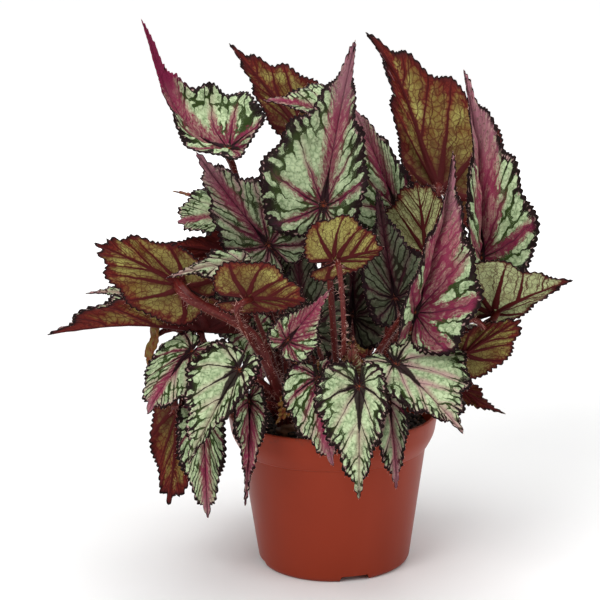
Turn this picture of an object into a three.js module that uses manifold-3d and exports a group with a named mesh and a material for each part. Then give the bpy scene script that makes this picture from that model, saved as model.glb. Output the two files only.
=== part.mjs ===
// A rex begonia in a round plastic nursery pot. Millimetres, +Z up.
// The origin is the centre of the pot's underside, and -Y is the side that the plant shows best.
import * as THREE from "three";
import { mergeVertices } from "three/addons/utils/BufferGeometryUtils.js";
import Module from "manifold-3d";

const wasm = await Module();
wasm.setup();

// Driving dimensions
const GAP = 0.3; // left between pieces that touch
const POT = {
  height: 88.7,
  rimRadius: 60.3,
  collarFoot: 68.7, // height at which the collar stands out from the wall
  wallAtGround: 44.1, // the wall's outer radius, if it ran down to the ground
  flare: 0.139, // how much the wall widens for each millimetre of height
  wall: 1.4,
  floor: 2.2,
  segments: 36,
};
const CHANNEL = { count: 4, firstDegrees: -74.6, width: 18.6, height: 3.6, inner: 20, hole: 4, holeAt: 31 };
const SOIL = { top: 78.5, bumps: 1.1, rings: 5 };
const BLADE = { thickness: 0.8, narrowing: 0.27 };
const STALK = { sides: 5, steps: 6, rootSpread: 1.35 };

const COLOURS = {
  pot: { color: 0xa8452c, roughness: 0.45 },
  soil: { color: 0x241812, roughness: 1 },
  shoot: { color: 0x7a2a22, roughness: 0.6 },
  blade: { color: 0x8fa383, roughness: 0.5 },
  youngBlade: { color: 0x7f7a3c, roughness: 0.55 },
};

// A closed geometry as a solid that can be cut and joined.
function solid(geometry) {
  const bare = geometry.index ? geometry.toNonIndexed() : geometry.clone();
  for (const name of ["normal", "uv"]) bare.deleteAttribute(name);
  const merged = mergeVertices(bare, 1e-4);
  return new wasm.Manifold(
    new wasm.Mesh({
      numProp: 3,
      vertProperties: merged.attributes.position.array,
      triVerts: new Uint32Array(merged.index.array),
    }),
  );
}

// A solid as a named mesh.
function mesh(name, body, look) {
  const made = body.getMesh();
  const geometry = new THREE.BufferGeometry();
  geometry.setAttribute("position", new THREE.BufferAttribute(made.vertProperties, 3));
  geometry.setIndex(new THREE.BufferAttribute(made.triVerts, 1));
  geometry.computeVertexNormals();
  const result = new THREE.Mesh(geometry, new THREE.MeshStandardMaterial({ ...look, metalness: 0 }));
  result.name = name;
  return result;
}

// A profile of [radius, height] pairs, from the axis round to the axis, turned about Z.
function turned(profile, segments) {
  const points = profile.map(([radius, height]) => new THREE.Vector2(radius, height));
  return new THREE.LatheGeometry(points, segments).rotateX(Math.PI / 2);
}

const polar = (radius, degrees, z) => {
  const angle = THREE.MathUtils.degToRad(degrees);
  return new THREE.Vector3(radius * Math.cos(angle), radius * Math.sin(angle), z);
};

// Pot
const outerRadius = (z) => POT.wallAtGround + POT.flare * z;
const innerRadius = (z) => outerRadius(z) - POT.wall;

// The inside of the collar, from where the wall's inside ends to the rim.
const COLLAR_INSIDE = [
  [innerRadius(POT.collarFoot - 2), POT.collarFoot - 2],
  [POT.rimRadius - 4.6, POT.collarFoot + 3],
  [POT.rimRadius - 2.5, POT.collarFoot + 8],
];

function potBody() {
  const rim = POT.rimRadius;
  const foot = POT.collarFoot;
  const outside = [
    [0, 0],
    [POT.wallAtGround - 2.6, 0],
    [POT.wallAtGround - 0.5, 1.4],
    [outerRadius(5), 5],
    [outerRadius(foot), foot],
    [rim - 4.9, foot + 2.3],
    [rim - 1.8, foot + 6.9],
    [rim - 0.6, foot + 11.9],
    [rim, POT.height - 2.2],
    [rim - 0.3, POT.height],
  ];
  const inside = [
    [rim - 1.9, POT.height],
    ...COLLAR_INSIDE.toReversed(),
    [innerRadius(6), 6],
    [POT.wallAtGround - 4, POT.floor],
    [0, POT.floor],
  ];
  let body = solid(turned([...outside, ...inside], POT.segments));
  for (let k = 0; k < CHANNEL.count; k += 1) {
    const turn = CHANNEL.firstDegrees + (360 / CHANNEL.count) * k;
    const coverTop = CHANNEL.height + POT.floor - 0.4;
    const cover = channelBlock(CHANNEL.width + 2.8, coverTop, CHANNEL.inner - 1.5, 0, turn);
    const profile = [[0, -1], [innerRadius(5) - 0.2, -1], [innerRadius(9), 9], [0, 9]];
    const inward = solid(turned(profile, POT.segments));
    body = body.add(cover.intersect(inward));
  }
  for (let k = 0; k < CHANNEL.count; k += 1) {
    const turn = CHANNEL.firstDegrees + (360 / CHANNEL.count) * k;
    body = body.subtract(channelBlock(CHANNEL.width, CHANNEL.height, CHANNEL.inner, -1, turn));
    const place = polar(CHANNEL.holeAt, turn, 0);
    const hole = new THREE.CylinderGeometry(CHANNEL.hole, CHANNEL.hole, 30, 10);
    body = body.subtract(solid(hole.rotateX(Math.PI / 2).translate(place.x, place.y, 5)));
  }
  return body;
}

// A radial bar on the pot's floor, slightly narrower at the top, from the inner radius out past the wall.
function channelBlock(width, height, inner, bottom, turn) {
  const half = width / 2;
  const section = new THREE.Shape();
  section.moveTo(-half, bottom);
  section.lineTo(half, bottom);
  section.lineTo(half - 1.6, height);
  section.lineTo(1.6 - half, height);
  section.closePath();
  const length = POT.rimRadius - inner;
  const bar = new THREE.ExtrudeGeometry(section, { depth: length, bevelEnabled: false });
  bar.rotateX(Math.PI / 2).rotateZ(Math.PI / 2).translate(inner, 0, 0);
  return solid(bar.rotateZ(THREE.MathUtils.degToRad(turn)));
}

// Shoots: short stubs of rhizome that stand in plain holes in the soil
const SHOOTS = {
  left: { at: [-24, -8], turn: 60 },
  middle: { at: [4, -20], turn: 5 },
  right: { at: [27, -3], turn: 100 },
  backRight: { at: [20, 24], turn: 150 },
  back: { at: [-14, 20], turn: 30 },
};
const STUB = { radius: 7.5, stretch: 1.45, below: 13, above: 9, segments: 12 };

// The stub, or with room the hole that it stands in.
function stub(shoot, room) {
  const radius = STUB.radius + room;
  const bottom = SOIL.top - STUB.below - room;
  const profile = room
    ? [[0, bottom], [radius, bottom], [radius, SOIL.top + 20], [0, SOIL.top + 20]]
    : [
        [0, bottom],
        [radius * 0.8, bottom],
        [radius, bottom + 3],
        [radius, SOIL.top + 3],
        [radius * 0.7, SOIL.top + STUB.above * 0.75],
        [0, SOIL.top + STUB.above],
      ];
  const geometry = turned(profile, STUB.segments);
  geometry.scale(room ? (STUB.radius * STUB.stretch + room) / radius : STUB.stretch, 1, 1);
  geometry.rotateZ(THREE.MathUtils.degToRad(shoot.turn)).translate(shoot.at[0], shoot.at[1], 0);
  return solid(geometry);
}

// Soil
function soilBody() {
  const bottom = CHANNEL.height + POT.floor - 0.4 + GAP;
  const side = [
    [0, bottom],
    [innerRadius(bottom) - GAP - 1, bottom],
    [innerRadius(9) - GAP, 9],
    ...COLLAR_INSIDE.map(([radius, z]) => [radius - GAP - 0.1, z]),
  ];
  const edge = side.at(-1);
  const top = [];
  for (let ring = 1; ring <= SOIL.rings; ring += 1) {
    const share = 1 - ring / (SOIL.rings + 0.4);
    top.push([edge[0] * share, SOIL.top + 0.8 * Math.sin(2.1 * ring)]);
  }
  top.push([0, SOIL.top]);
  const geometry = turned([...side, ...top], POT.segments / 2);
  const place = geometry.attributes.position;
  for (let i = 0; i < place.count; i += 1) {
    const [x, y, z] = [place.getX(i), place.getY(i), place.getZ(i)];
    const inner = Math.hypot(x, y) < edge[0] * 0.9 && z > edge[1] - 0.5;
    if (inner) place.setZ(i, z + SOIL.bumps * Math.sin(x * 0.9 + 1.3 * y) * Math.cos(y * 0.7 - 0.4 * x));
  }
  let body = solid(geometry);
  for (const shoot of Object.values(SHOOTS)) body = body.subtract(stub(shoot, GAP));
  return body;
}

// Leaves. joint is where the stalk meets the blade, tip the end of the blade, facing the way that the
// upper side looks. rise and droop bend the midrib at its two ends, fold lifts both halves, curl bends
// them further towards their margins, sweep turns the tip sideways, and wide is the side of the larger
// half, seen from above with the tip up. point is the share of the length that is drawn out into a tip,
// and taper how wide that tip is. Angles are in degrees.
const PLAIN = {
  facing: [0, -1, 0.4], breadth: 1, wide: 1, fold: 12, curl: -18, rise: 10, droop: 12, sweep: 0, twist: 0,
  wave: 0.02, stalk: 1.7, arrive: 0.7, small: false, lobe: 1, point: 0.435, taper: 8, narrow: 0.78,
  grip: 0.36,
};
const LEAVES = [];
function leaf(shoot, joint, tip, facing, details = {}) {
  const name = `leaf_${String(LEAVES.length + 1).padStart(2, "0")}`;
  LEAVES.push({ ...PLAIN, name, shoot, joint, tip, facing, ...details });
}

// Upper front, from left to right
leaf("left", [-56, -12, 242], [-99, -30, 313.5], [0.14, -0.52, 0.9], {
  rise: -60, droop: -26, grip: 0.42, fold: 22, curl: -10, breadth: 1.14,
  narrow: 0.5, taper: 4.5, sweep: -16, lobe: 0.25,
});
leaf("back", [-16, 26, 247], [-58, 42, 297], [-0.2, 0.9, 0.3], {
  wide: -1, breadth: 0.68, taper: 9, point: 0.3, narrow: 0.5,
});
leaf("middle", [-4, -45, 215], [14, -18, 302], [-0.1, -0.95, 0.3], {
  wide: -1, narrow: 0.6, lobe: 0.7, breadth: 0.93,
});
leaf("back", [3, 10, 258], [-37, 0, 268], [0, -0.6, 0.8], { small: true, breadth: 1.3 });
leaf("right", [37, -4, 206], [11, 8, 267], [0.1, -0.9, 0.4], {
  breadth: 0.72, narrow: 0.5, wide: -1, lobe: 0.5, point: 0.3, taper: 12,
});
leaf("backRight", [63, 25, 212], [21, 50, 302], [-0.1, 0.95, 0.2], {
  breadth: 0.8, narrow: 0.33, wide: -1, lobe: 0.8, taper: 9, point: 0.3, sweep: 22,
});
leaf("right", [84, -8, 179], [75, 0, 284], [0.42, -0.9, 0.15], {
  fold: 45, curl: -16, breadth: 0.62, lobe: 0.7, point: 0.38, taper: 11,
});
leaf("middle", [44, -62, 160], [65, -40, 243], [0.5, -0.82, 0.25], {
  fold: 48, curl: -16, breadth: 0.85, lobe: 0.8,
});
leaf("right", [35, -30, 161], [25, -20, 221], [-0.1, -0.95, 0.2], { small: true, breadth: 0.85 });
leaf("right", [52, -21, 184], [47, -19, 224], [0.3, 0.9, 0.2], {
  small: true, breadth: 0.95, lobe: 0.5, point: 0.1, taper: 20,
});
leaf("right", [88, -40, 153], [125, -78, 179], [-0.2, 0.95, 0.15], {
  breadth: 1.25, lobe: 1.2, point: 0.3, taper: 9, narrow: 0.25,
  via: [[36, -28, 138], [46, -46, 148], [62, -57, 152], [76, -55, 154]],
});
leaf("right", [72, -44, 132], [101, -58, 154], [0.1, 0.95, 0.2], {
  small: true, breadth: 0.66, lobe: 0.4, wide: -1, narrow: 0.6, point: 0.15, taper: 15,
});
// Lower front, from right to left
leaf("middle", [34, -60, 131], [67, -98, 103], [0.25, -0.75, 0.6], {
  wide: -1, breadth: 1.05, narrow: 0.6, lobe: 0.4, point: 0.25, taper: 9,
});
leaf("right", [68, -50, 116], [93, -62, 103], [0, 0.5, -0.8], { small: true, breadth: 0.72, lobe: 0.4 });
leaf("middle", [14, -82, 125], [13, -108, 72], [0, -0.8, 0.6], {
  narrow: 0.65, breadth: 0.88, lobe: 0.7, point: 0.4, taper: 14,
});
leaf("middle", [-7, -72, 127], [0, -84, 82], [-0.35, -0.8, 0.4], {
  narrow: 0.5, breadth: 0.84, point: 0.3, lobe: 0.3, taper: 16,
});
leaf("middle", [30, -58, 110], [34, -70, 64], [0.3, -0.9, 0.3], {
  small: true, breadth: 0.75, point: 0.4, lobe: 0.4, narrow: 0.6, taper: 14,
});
leaf("left", [-49, -76, 133], [-75, -100, 89], [-0.2, -0.8, 0.55], {
  narrow: 0.45, lobe: 0.6, point: 0.4, taper: 12,
});
leaf("left", [-76, -52, 137], [-99, -74, 109], [-0.5, -0.7, 0.4], {
  small: true, wide: -1, breadth: 1.2, narrow: 0.6, point: 0.2, lobe: 0.4, taper: 14,
});
leaf("left", [-97, -25, 142], [-102, -32, 103], [-0.9, -0.3, 0.3], { small: true, breadth: 0.6 });
leaf("left", [-86, -36, 100], [-92, -46, 48], [0.2, 0.9, 0], {
  small: true, breadth: 0.6, point: 0.2, lobe: 0.5, via: [[-64, -48, 108]], taper: 20,
});
leaf("left", [-70, -58, 99], [-68, -70, 49], [0, -0.9, 0.2], {
  small: true, breadth: 0.55, point: 0.3, lobe: 0.6, taper: 18,
});
leaf("left", [-45, -64, 112], [-47, -84, 60], [0.25, -0.95, 0.1], {
  small: true, breadth: 0.6, fold: 45, lobe: 0.4,
});
// Left side and middle
leaf("left", [-79, -62, 175], [-122, -82, 203], [-0.2, 0.9, 0.3], {
  breadth: 0.66, narrow: 0.72, point: 0.15, stalk: 2.8, wide: 1, lobe: 0.5,
  via: [[-34, -50, 125], [-44, -62, 150]],
});
leaf("left", [-70, -28, 142], [-154, -50, 148], [0, -0.1, 1], {
  fold: 62, curl: -16, breadth: 0.68, wide: -1, point: 0.3, lobe: 0.5, taper: 12,
});
leaf("left", [-104, 0, 156], [-141, 5, 158], [0, -0.5, 0.8], { small: true, breadth: 0.6 });
leaf("left", [-34, -34, 192], [-72, -34, 243], [-0.35, -0.85, 0.35], {
  point: 0.35, breadth: 0.83, lobe: 0.8, taper: 12,
});
leaf("left", [-54, 8, 201], [-86, -5, 200], [0, -0.65, 0.75], {
  small: true, breadth: 1.0, point: 0.1, taper: 20,
});
leaf("back", [-60, 30, 199], [-93, 40, 212], [0, -0.3, 0.9], { small: true, breadth: 0.6 });
leaf("middle", [2, -90, 193], [27, -88, 199], [0.1, 0.85, 0.2], {
  breadth: 1.5, small: true, point: 0.15, taper: 15, lobe: 1.3, narrow: 0.35, wide: 1, arrive: 0.2,
  via: [[6, -90, 162]],
});
leaf("middle", [-23, -80, 150], [0, -92, 180], [0.3, -0.8, 0.5], {
  small: true, breadth: 0.9, via: [[-12, -48, 146]],
});
leaf("left", [-43, -86, 173], [-13, -98, 174], [0, 0.95, 0.2], {
  breadth: 1.0, wide: 1, lobe: 1.3, point: 0.15, narrow: 0.4, small: true, taper: 15,
});
leaf("middle", [9.5, -68, 130.5], [11, -72, 150], [0, -0.9, 0.2], { small: true, breadth: 0.8 });
leaf("left", [-48, -60, 187], [-85, -86, 184], [-0.2, -0.75, 0.65], {
  small: true, breadth: 0.9, lobe: 0.6, wide: -1, narrow: 0.6,
});
leaf("right", [54, -34, 149], [66, -38, 133], [0.2, -0.9, 0.4], { small: true, lobe: 0.5, breadth: 0.8 });
// In the shade within, and at the back
leaf("back", [-16, -8, 140], [-20, 0, 205], [-0.1, -0.95, 0.2], { narrow: 0.5, breadth: 0.9, lobe: 1.2 });
leaf("back", [12, 30, 138], [14, 40, 222], [0, -0.9, 0.3], { breadth: 0.85, lobe: 0.9 });
leaf("backRight", [60, 36, 150], [76, 40, 212], [0.1, -0.9, 0.3], { lobe: 0.5, small: true });
leaf("back", [12, 78, 130], [15, 107, 76], [0, 0.8, 0.6], { breadth: 1.45, wide: 1, narrow: 0.6 });
leaf("back", [-42, 62, 133], [-65, 97, 86], [-0.3, 0.75, 0.6], { breadth: 1.15 });
leaf("backRight", [37, 68, 126], [60, 100, 80], [0.3, 0.75, 0.6], { breadth: 1.2, small: true });
leaf("back", [-62, 50, 168], [-84, 92, 170], [-0.3, 0.5, 0.8]);
leaf("back", [-12, 72, 185], [-6, 118, 214], [0, 0.5, 0.85], {});
leaf("backRight", [56, 60, 172], [88, 96, 176], [0.3, 0.45, 0.85], {});
leaf("backRight", [79, 27, 131], [100, 62, 112], [0.6, 0.3, 0.75], { small: true, lobe: 0.5 });
leaf("left", [-84, 26, 128], [-112, 44, 104], [-0.6, 0.3, 0.75], { small: true });
leaf("back", [-31, 46, 150], [-35, 52, 198], [0, -0.9, 0.3], { small: true });
leaf("backRight", [27, 52, 158], [23, 58, 205], [0, -0.9, 0.3], { small: true });
leaf("left", [-58, 18, 138], [-67, 20, 178], [-0.3, -0.9, 0.3], { small: true });
leaf("left", [-44, -16, 140], [-40, -24, 103], [0.2, -0.9, 0.3], { small: true });
leaf("left", [-52, -21, 184], [-93, -36, 193], [0, 0.9, 0.3], {
  small: true, lobe: 0.6, via: [[-31, -3, 142]],
});
leaf("back", [-17, 76, 115], [-24, 103, 71], [0, 0.8, 0.6], {
  small: true, breadth: 0.85, point: 0.2, taper: 12, via: [[-12, 55, 100]],
});
// A small dry one over the soil
leaf("left", [-22, -57, 109], [-31, -62, 99], [0.3, -0.8, 0.5], {
  small: true, breadth: 1.2, fold: 30, stalk: 1.4,
});

// The blade's reach from the joint at an angle from the midrib, as a share of its length.
function reach(angle, data) {
  const turn = angle / 180;
  const back = 1 + (data.lobe - 1) * Math.max(0, turn * 2 - 1);
  const body = (1 - data.point - BLADE.narrowing * turn) * Math.sqrt(1 - turn ** 8) * back;
  return data.point * Math.exp(-angle / data.taper) + body;
}

const ANGLES = [0, 4, 11, 21, 34, 50, 68, 90, 114, 142, 170];
const SMALL_ANGLES = [0, 5, 14, 30, 52, 80, 112, 145, 171];
const RINGS = [0.36, 0.7, 1];
const SMALL_RINGS = [0.55, 1];
const TOOTH = 0.045;

const vector = (list) => new THREE.Vector3(...list);
const radians = THREE.MathUtils.degToRad;

// The midrib as a curve, with the direction that the upper side looks at any place along it.
function midrib(data) {
  const [start, end] = [vector(data.joint), vector(data.tip)];
  const chord = end.clone().sub(start);
  const length = chord.length();
  chord.normalize();
  const face = vector(data.facing);
  face.addScaledVector(chord, -face.dot(chord)).normalize();
  const side = chord.clone().cross(face);
  const bent = (lift, turn) =>
    chord.clone().multiplyScalar(Math.cos(radians(lift))).addScaledVector(face, Math.sin(radians(lift)))
      .addScaledVector(side, Math.sin(radians(turn))).normalize();
  const first = start.clone().addScaledVector(bent(data.rise, 0), data.grip * length);
  const last = end.clone().addScaledVector(bent(-data.droop, data.sweep), -data.grip * length);
  const curve = new THREE.CubicBezierCurve3(start, first, last, end);
  const frame = (t) => {
    const share = Math.min(Math.max(t, 0), 1);
    const along = curve.getTangent(share);
    const across = side.clone().addScaledVector(along, -side.dot(along)).normalize();
    across.applyAxisAngle(along, radians(data.twist) * share);
    const up = across.clone().cross(along);
    const at = curve.getPoint(share).addScaledVector(along, Math.min(t, 0) * length);
    return { at, along, across, up };
  };
  return { length, frame };
}

// A point of the blade's middle surface and the direction that its upper side looks there.
function bladePoint(data, rib, angle, side, share, lift) {
  const stretch = data.breadth * (side === data.wide ? 0.95 : 0.95 * data.narrow);
  const out = share * lift * reach(angle, data);
  const along = out * Math.cos(radians(angle));
  const across = out * Math.sin(radians(angle)) * stretch * rib.length;
  const frame = rib.frame(along);
  const fold = radians(data.fold);
  const bend = radians(data.curl) / (0.42 * rib.length);
  const turned = fold + bend * across;
  const sideways = Math.abs(bend) < 1e-6
    ? across * Math.cos(fold) : (Math.sin(turned) - Math.sin(fold)) / bend;
  const ripple = data.wave * rib.length * share ** 2 * Math.sin(radians(angle) * 7 + rib.length);
  const upward = (Math.abs(bend) < 1e-6
    ? across * Math.sin(fold) : (Math.cos(fold) - Math.cos(turned)) / bend) + ripple;
  const at = frame.at.clone()
    .addScaledVector(frame.across, side * sideways).addScaledVector(frame.up, upward);
  const look = angle === 0 ? 0 : turned;
  const normal = frame.up.clone().multiplyScalar(Math.cos(look))
    .addScaledVector(frame.across, -side * Math.sin(look));
  return { at, normal };
}

// A blade as a thin solid: a fan of rings about the joint, the same triangles on both faces.
function bladeBody(data, thickness) {
  const rib = midrib(data);
  const angles = data.small ? SMALL_ANGLES : ANGLES;
  const rings = data.small ? SMALL_RINGS : RINGS;
  const spokes = [
    ...angles.slice(1).toReversed().map((angle, k) => ({ angle, side: -1, place: angles.length - 1 - k })),
    ...angles.map((angle, k) => ({ angle, side: 1, place: k })),
  ];
  const points = [bladePoint(data, rib, 0, 1, 0, 1)];
  for (const ring of rings) {
    for (const { angle, side, place } of spokes) {
      const tooth = ring === 1 && place > 0 ? (place % 2 ? -TOOTH : TOOTH) : 0;
      points.push(bladePoint(data, rib, angle, side, ring, 1 + tooth));
    }
  }
  const faces = [];
  const n = spokes.length;
  for (let k = 0; k < n - 1; k += 1) {
    faces.push([0, 2 + k, 1 + k]);
    for (let ring = 0; ring < rings.length - 1; ring += 1) {
      const [inner, outer] = [1 + ring * n + k, 1 + (ring + 1) * n + k];
      faces.push([inner, inner + 1, outer], [inner + 1, outer + 1, outer]);
    }
  }
  return thickened(points, faces, thickness);
}

// Points with the way that each looks, and faces that turn anticlockwise seen from above, as a thin solid.
function thickened(points, faces, thickness) {
  const count = points.length;
  const position = [];
  for (const sign of [1, -1]) {
    for (const { at, normal } of points) {
      position.push(...at.clone().addScaledVector(normal, (sign * thickness) / 2).toArray());
    }
  }
  const edges = new Map();
  const index = [];
  for (const [a, b, c] of faces) {
    index.push(a, b, c, a + count, c + count, b + count);
    for (const [from, to] of [[a, b], [b, c], [c, a]]) {
      if (!edges.delete(`${to},${from}`)) edges.set(`${from},${to}`, [from, to]);
    }
  }
  for (const [from, to] of edges.values()) {
    index.push(to, from, from + count, to, from + count, to + count);
  }
  const geometry = new THREE.BufferGeometry();
  geometry.setAttribute("position", new THREE.Float32BufferAttribute(position, 3));
  geometry.setIndex(index);
  return solid(geometry);
}

// A tapered stalk along a smooth curve through the points, with its end cut flat across the given way up.
function stalkBody(points, rootRadius, endRadius, up) {
  const curve = new THREE.CatmullRomCurve3(points);
  const { sides, steps } = STALK;
  const geometry = new THREE.CylinderGeometry(endRadius, rootRadius, 1, sides, steps);
  const frames = curve.computeFrenetFrames(steps, false);
  const place = geometry.attributes.position;
  for (let i = 0; i < place.count; i += 1) {
    const step = Math.round((place.getY(i) + 0.5) * steps);
    const middle = curve.getPointAt(step / steps);
    const at = middle.clone()
      .addScaledVector(frames.normals[step], place.getX(i))
      .addScaledVector(frames.binormals[step], -place.getZ(i));
    const along = frames.tangents[step];
    if (step === steps) at.addScaledVector(along, -at.clone().sub(middle).dot(up) / along.dot(up));
    place.setXYZ(i, at.x, at.y, at.z);
  }
  return solid(geometry);
}

// The stalk from its shoot to the underside of its blade, where it stops short by the gap.
function leafStalk(data) {
  const shoot = SHOOTS[data.shoot];
  const { at, along, up } = midrib(data).frame(0.035);
  const end = at.clone().addScaledVector(up, -BLADE.thickness / 2 - GAP);
  const outward = new THREE.Vector3(end.x - shoot.at[0], end.y - shoot.at[1], 0).normalize();
  const run = end.clone().sub(new THREE.Vector3(...shoot.at, SOIL.top));
  const flat = 1 - run.z / run.length();
  const root = new THREE.Vector3(...shoot.at, SOIL.top + 2).addScaledVector(outward, 1 + 7 * flat);
  const rise = root.clone().addScaledVector(outward, 1 + 8 * flat).add(new THREE.Vector3(0, 0, 14));
  const arrive = along.clone().multiplyScalar(data.arrive).add(up).normalize();
  const near = end.clone().addScaledVector(arrive, -9);
  const via = (data.via ?? []).map(vector);
  const radius = data.small ? data.stalk * 0.75 : data.stalk;
  return stalkBody([root, rise, ...via, near, end], radius * STALK.rootSpread, radius, up);
}

const plant = new THREE.Group();
plant.add(mesh("pot", potBody(), COLOURS.pot));
plant.add(mesh("soil", soilBody(), COLOURS.soil));
for (const [place, shoot] of Object.entries(SHOOTS)) {
  let body = stub(shoot, 0);
  for (const data of LEAVES) if (data.shoot === place) body = body.add(leafStalk(data));
  plant.add(mesh(`shoot_${place}`, body, COLOURS.shoot));
}
for (const data of LEAVES) {
  const colours = data.small ? COLOURS.youngBlade : COLOURS.blade;
  plant.add(mesh(data.name, bladeBody(data, BLADE.thickness), colours));
}

export default plant;
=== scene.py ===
"""A rex begonia in a round plastic nursery pot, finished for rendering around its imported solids.

The origin is the centre of the pot's underside, +Z is up, and -Y is the side that the plant shows best.
The scene is in metres. The tables and formulas of the plant are in millimetres, as its solids are.
"""
import math
import random
from dataclasses import dataclass

import bmesh
import bpy
from bpy.props import FloatProperty, FloatVectorProperty, IntProperty, PointerProperty
from mathutils import Matrix, Vector, geometry, kdtree, noise


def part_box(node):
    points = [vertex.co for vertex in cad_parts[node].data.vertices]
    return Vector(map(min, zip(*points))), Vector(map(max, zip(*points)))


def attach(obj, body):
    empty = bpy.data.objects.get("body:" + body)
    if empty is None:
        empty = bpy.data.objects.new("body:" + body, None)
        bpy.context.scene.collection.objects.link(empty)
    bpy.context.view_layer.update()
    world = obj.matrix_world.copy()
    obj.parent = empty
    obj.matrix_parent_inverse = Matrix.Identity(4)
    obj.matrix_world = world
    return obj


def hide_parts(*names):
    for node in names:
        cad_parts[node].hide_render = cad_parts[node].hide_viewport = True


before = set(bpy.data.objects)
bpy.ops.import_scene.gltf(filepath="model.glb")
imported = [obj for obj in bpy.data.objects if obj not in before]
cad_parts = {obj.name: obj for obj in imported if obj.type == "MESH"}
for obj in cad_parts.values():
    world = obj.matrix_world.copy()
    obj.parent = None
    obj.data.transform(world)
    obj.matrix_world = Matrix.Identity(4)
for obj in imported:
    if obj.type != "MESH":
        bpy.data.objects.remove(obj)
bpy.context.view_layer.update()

bl_info = {
    "name": "Potted rex begonia",
    "version": (1, 0, 0),
    "blender": (4, 5, 0),
    "location": "3D View > Sidebar > Begonia",
    "description": "Builds the pot, soil, stalks and leaves of a rex begonia, and a stage to show it on",
    "category": "Object",
}

MM = 0.001
POT_LOW, POT_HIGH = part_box("pot")


# Sizes and colours

def length(name, description, default):
    return FloatProperty(name=name, description=description, default=default, unit="LENGTH")


def colour(name, description, default):
    return FloatVectorProperty(
        name=name, description=description, default=linear(default), subtype="COLOR", min=0, max=1
    )


def linear(code):
    """A colour written as six hexadecimal digits, as linear shares of red, green and blue light."""
    shares = [int(code[k:k + 2], 16) / 255 for k in (0, 2, 4)]
    return [c / 12.92 if c <= 0.04045 else ((c + 0.055) / 1.055) ** 2.4 for c in shares]


class PotSettings(bpy.types.PropertyGroup):
    """The plastic pot"""
    rim_radius: length("Rim radius", "Outer radius at the rim", (POT_HIGH.x - POT_LOW.x) / 2)
    height: length("Height", "Height from the ground to the rim", POT_HIGH.z)
    wall: length("Wall", "Thickness of the wall", 1.4 * MM)
    steps: IntProperty(name="Steps", description="Steps round the axis", default=160, min=12)
    plastic: colour("Plastic", "Colour of the pot", "8c321d")
    worn: colour("Worn plastic", "Colour where the plastic is scuffed", "a0452f")


class SoilSettings(bpy.types.PropertyGroup):
    """The potting soil"""
    crumb: length("Crumb", "Size of a common crumb", 1.9 * MM)
    crumbs: IntProperty(name="Crumbs", description="Number of loose crumbs", default=900, min=0)
    peat: colour("Peat", "Colour of damp peat", "2b1c14")
    fibre: colour("Fibre", "Colour of drier crumbs", "55402c")


class StalkSettings(bpy.types.PropertyGroup):
    """The shoots and the leaf stalks"""
    sides: IntProperty(name="Sides", description="Sides of a stalk", default=12, min=3)
    hair: length("Hair", "Length of a stalk's hairs", 2.8 * MM)
    hair_gap: length("Hair gap", "Length of stalk for each hair", 0.75 * MM)
    skin: colour("Skin", "Main colour of a stalk", "681d19")
    deep: colour("Deep", "Colour in a stalk's darker streaks", "3c0f11")
    pale: colour("Pale", "Colour of a stalk's flecks", "b98a76")
    hair_colour: colour("Hair colour", "Colour of the hairs", "c99c8e")
    rhizome: colour("Rhizome", "Colour of the shoots' feet", "6b4a34")


class BladeSettings(bpy.types.PropertyGroup):
    """The leaf blades"""
    thickness: length("Thickness", "Thickness of a blade", 0.5 * MM)
    tooth: length("Tooth", "Depth of the margin's teeth", 1.6 * MM)
    pucker: length("Pucker", "Height of the blade between its veins", 2.0 * MM)
    margin: colour("Margin", "Upper side at the margin", "1a0c0d")
    green: colour("Green", "Upper side between silver and margin", "2e3d19")
    silver: colour("Silver", "Upper side's pale zone", "b9c99f")
    shadow_silver: colour("Shadow silver", "Darker mottling in the pale zone", "758a62")
    rose: colour("Rose", "Pale zone where it blushes", "b3918c")
    flush: colour("Flush", "Bright zone along the veins", "a23d5e")
    wine: colour("Wine", "Darker parts of the bright zone", "741f3e")
    # the core colour is also the painted shade: whole blades are darkened towards it
    core: colour("Core", "Dark star round the joint", "1d0d12")
    tip: colour("Tip", "The drawn-out tip of a bright leaf", "94606c")
    vein: colour("Vein", "Fine veins on the upper side", "4a1f33")
    joint: colour("Joint", "The tuft where the stalk meets the blade", "a04a26")
    lime: colour("Lime", "Underside between its veins", "a8a35c")
    olive: colour("Olive", "Darker parts of the underside", "76602c")
    rust: colour("Rust", "Underside where it blushes", "6a241c")
    claret: colour("Claret", "Underside round the joint", "3f1214")
    red_vein: colour("Red vein", "Underside's veins", "471213")
    red_rim: colour("Red rim", "Underside at the margin", "4b1817")


class StageSettings(bpy.types.PropertyGroup):
    """The camera and the lights"""
    distance: length("Distance", "How far the camera stands in front of the pot's axis", 0.892)
    height: length("Height", "Height of the camera", 0.345)
    tilt: FloatProperty(
        name="Tilt", description="How far the camera looks down", default=math.radians(12.1),
        subtype="ANGLE",
    )
    roll: FloatProperty(
        name="Roll", description="Turn of the camera about its view", default=math.radians(-0.54),
        subtype="ANGLE",
    )
    key: FloatProperty(name="Key light", description="Power of the main softbox", default=16, unit="POWER")
    fill: FloatProperty(
        name="Fill light", description="Power of the second softbox", default=6, unit="POWER"
    )
    sky: FloatProperty(name="Room light", description="Strength of the light all round", default=0.33)


FRAME_PIXELS = 600
FOCAL_PIXELS = 1600
CENTRE_PIXELS = 331.8  # where the camera's axis meets the picture, from its left edge
SENSOR = 36  # width of the camera's sensor, in its own millimetres


# Node trees as plain arithmetic

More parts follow.
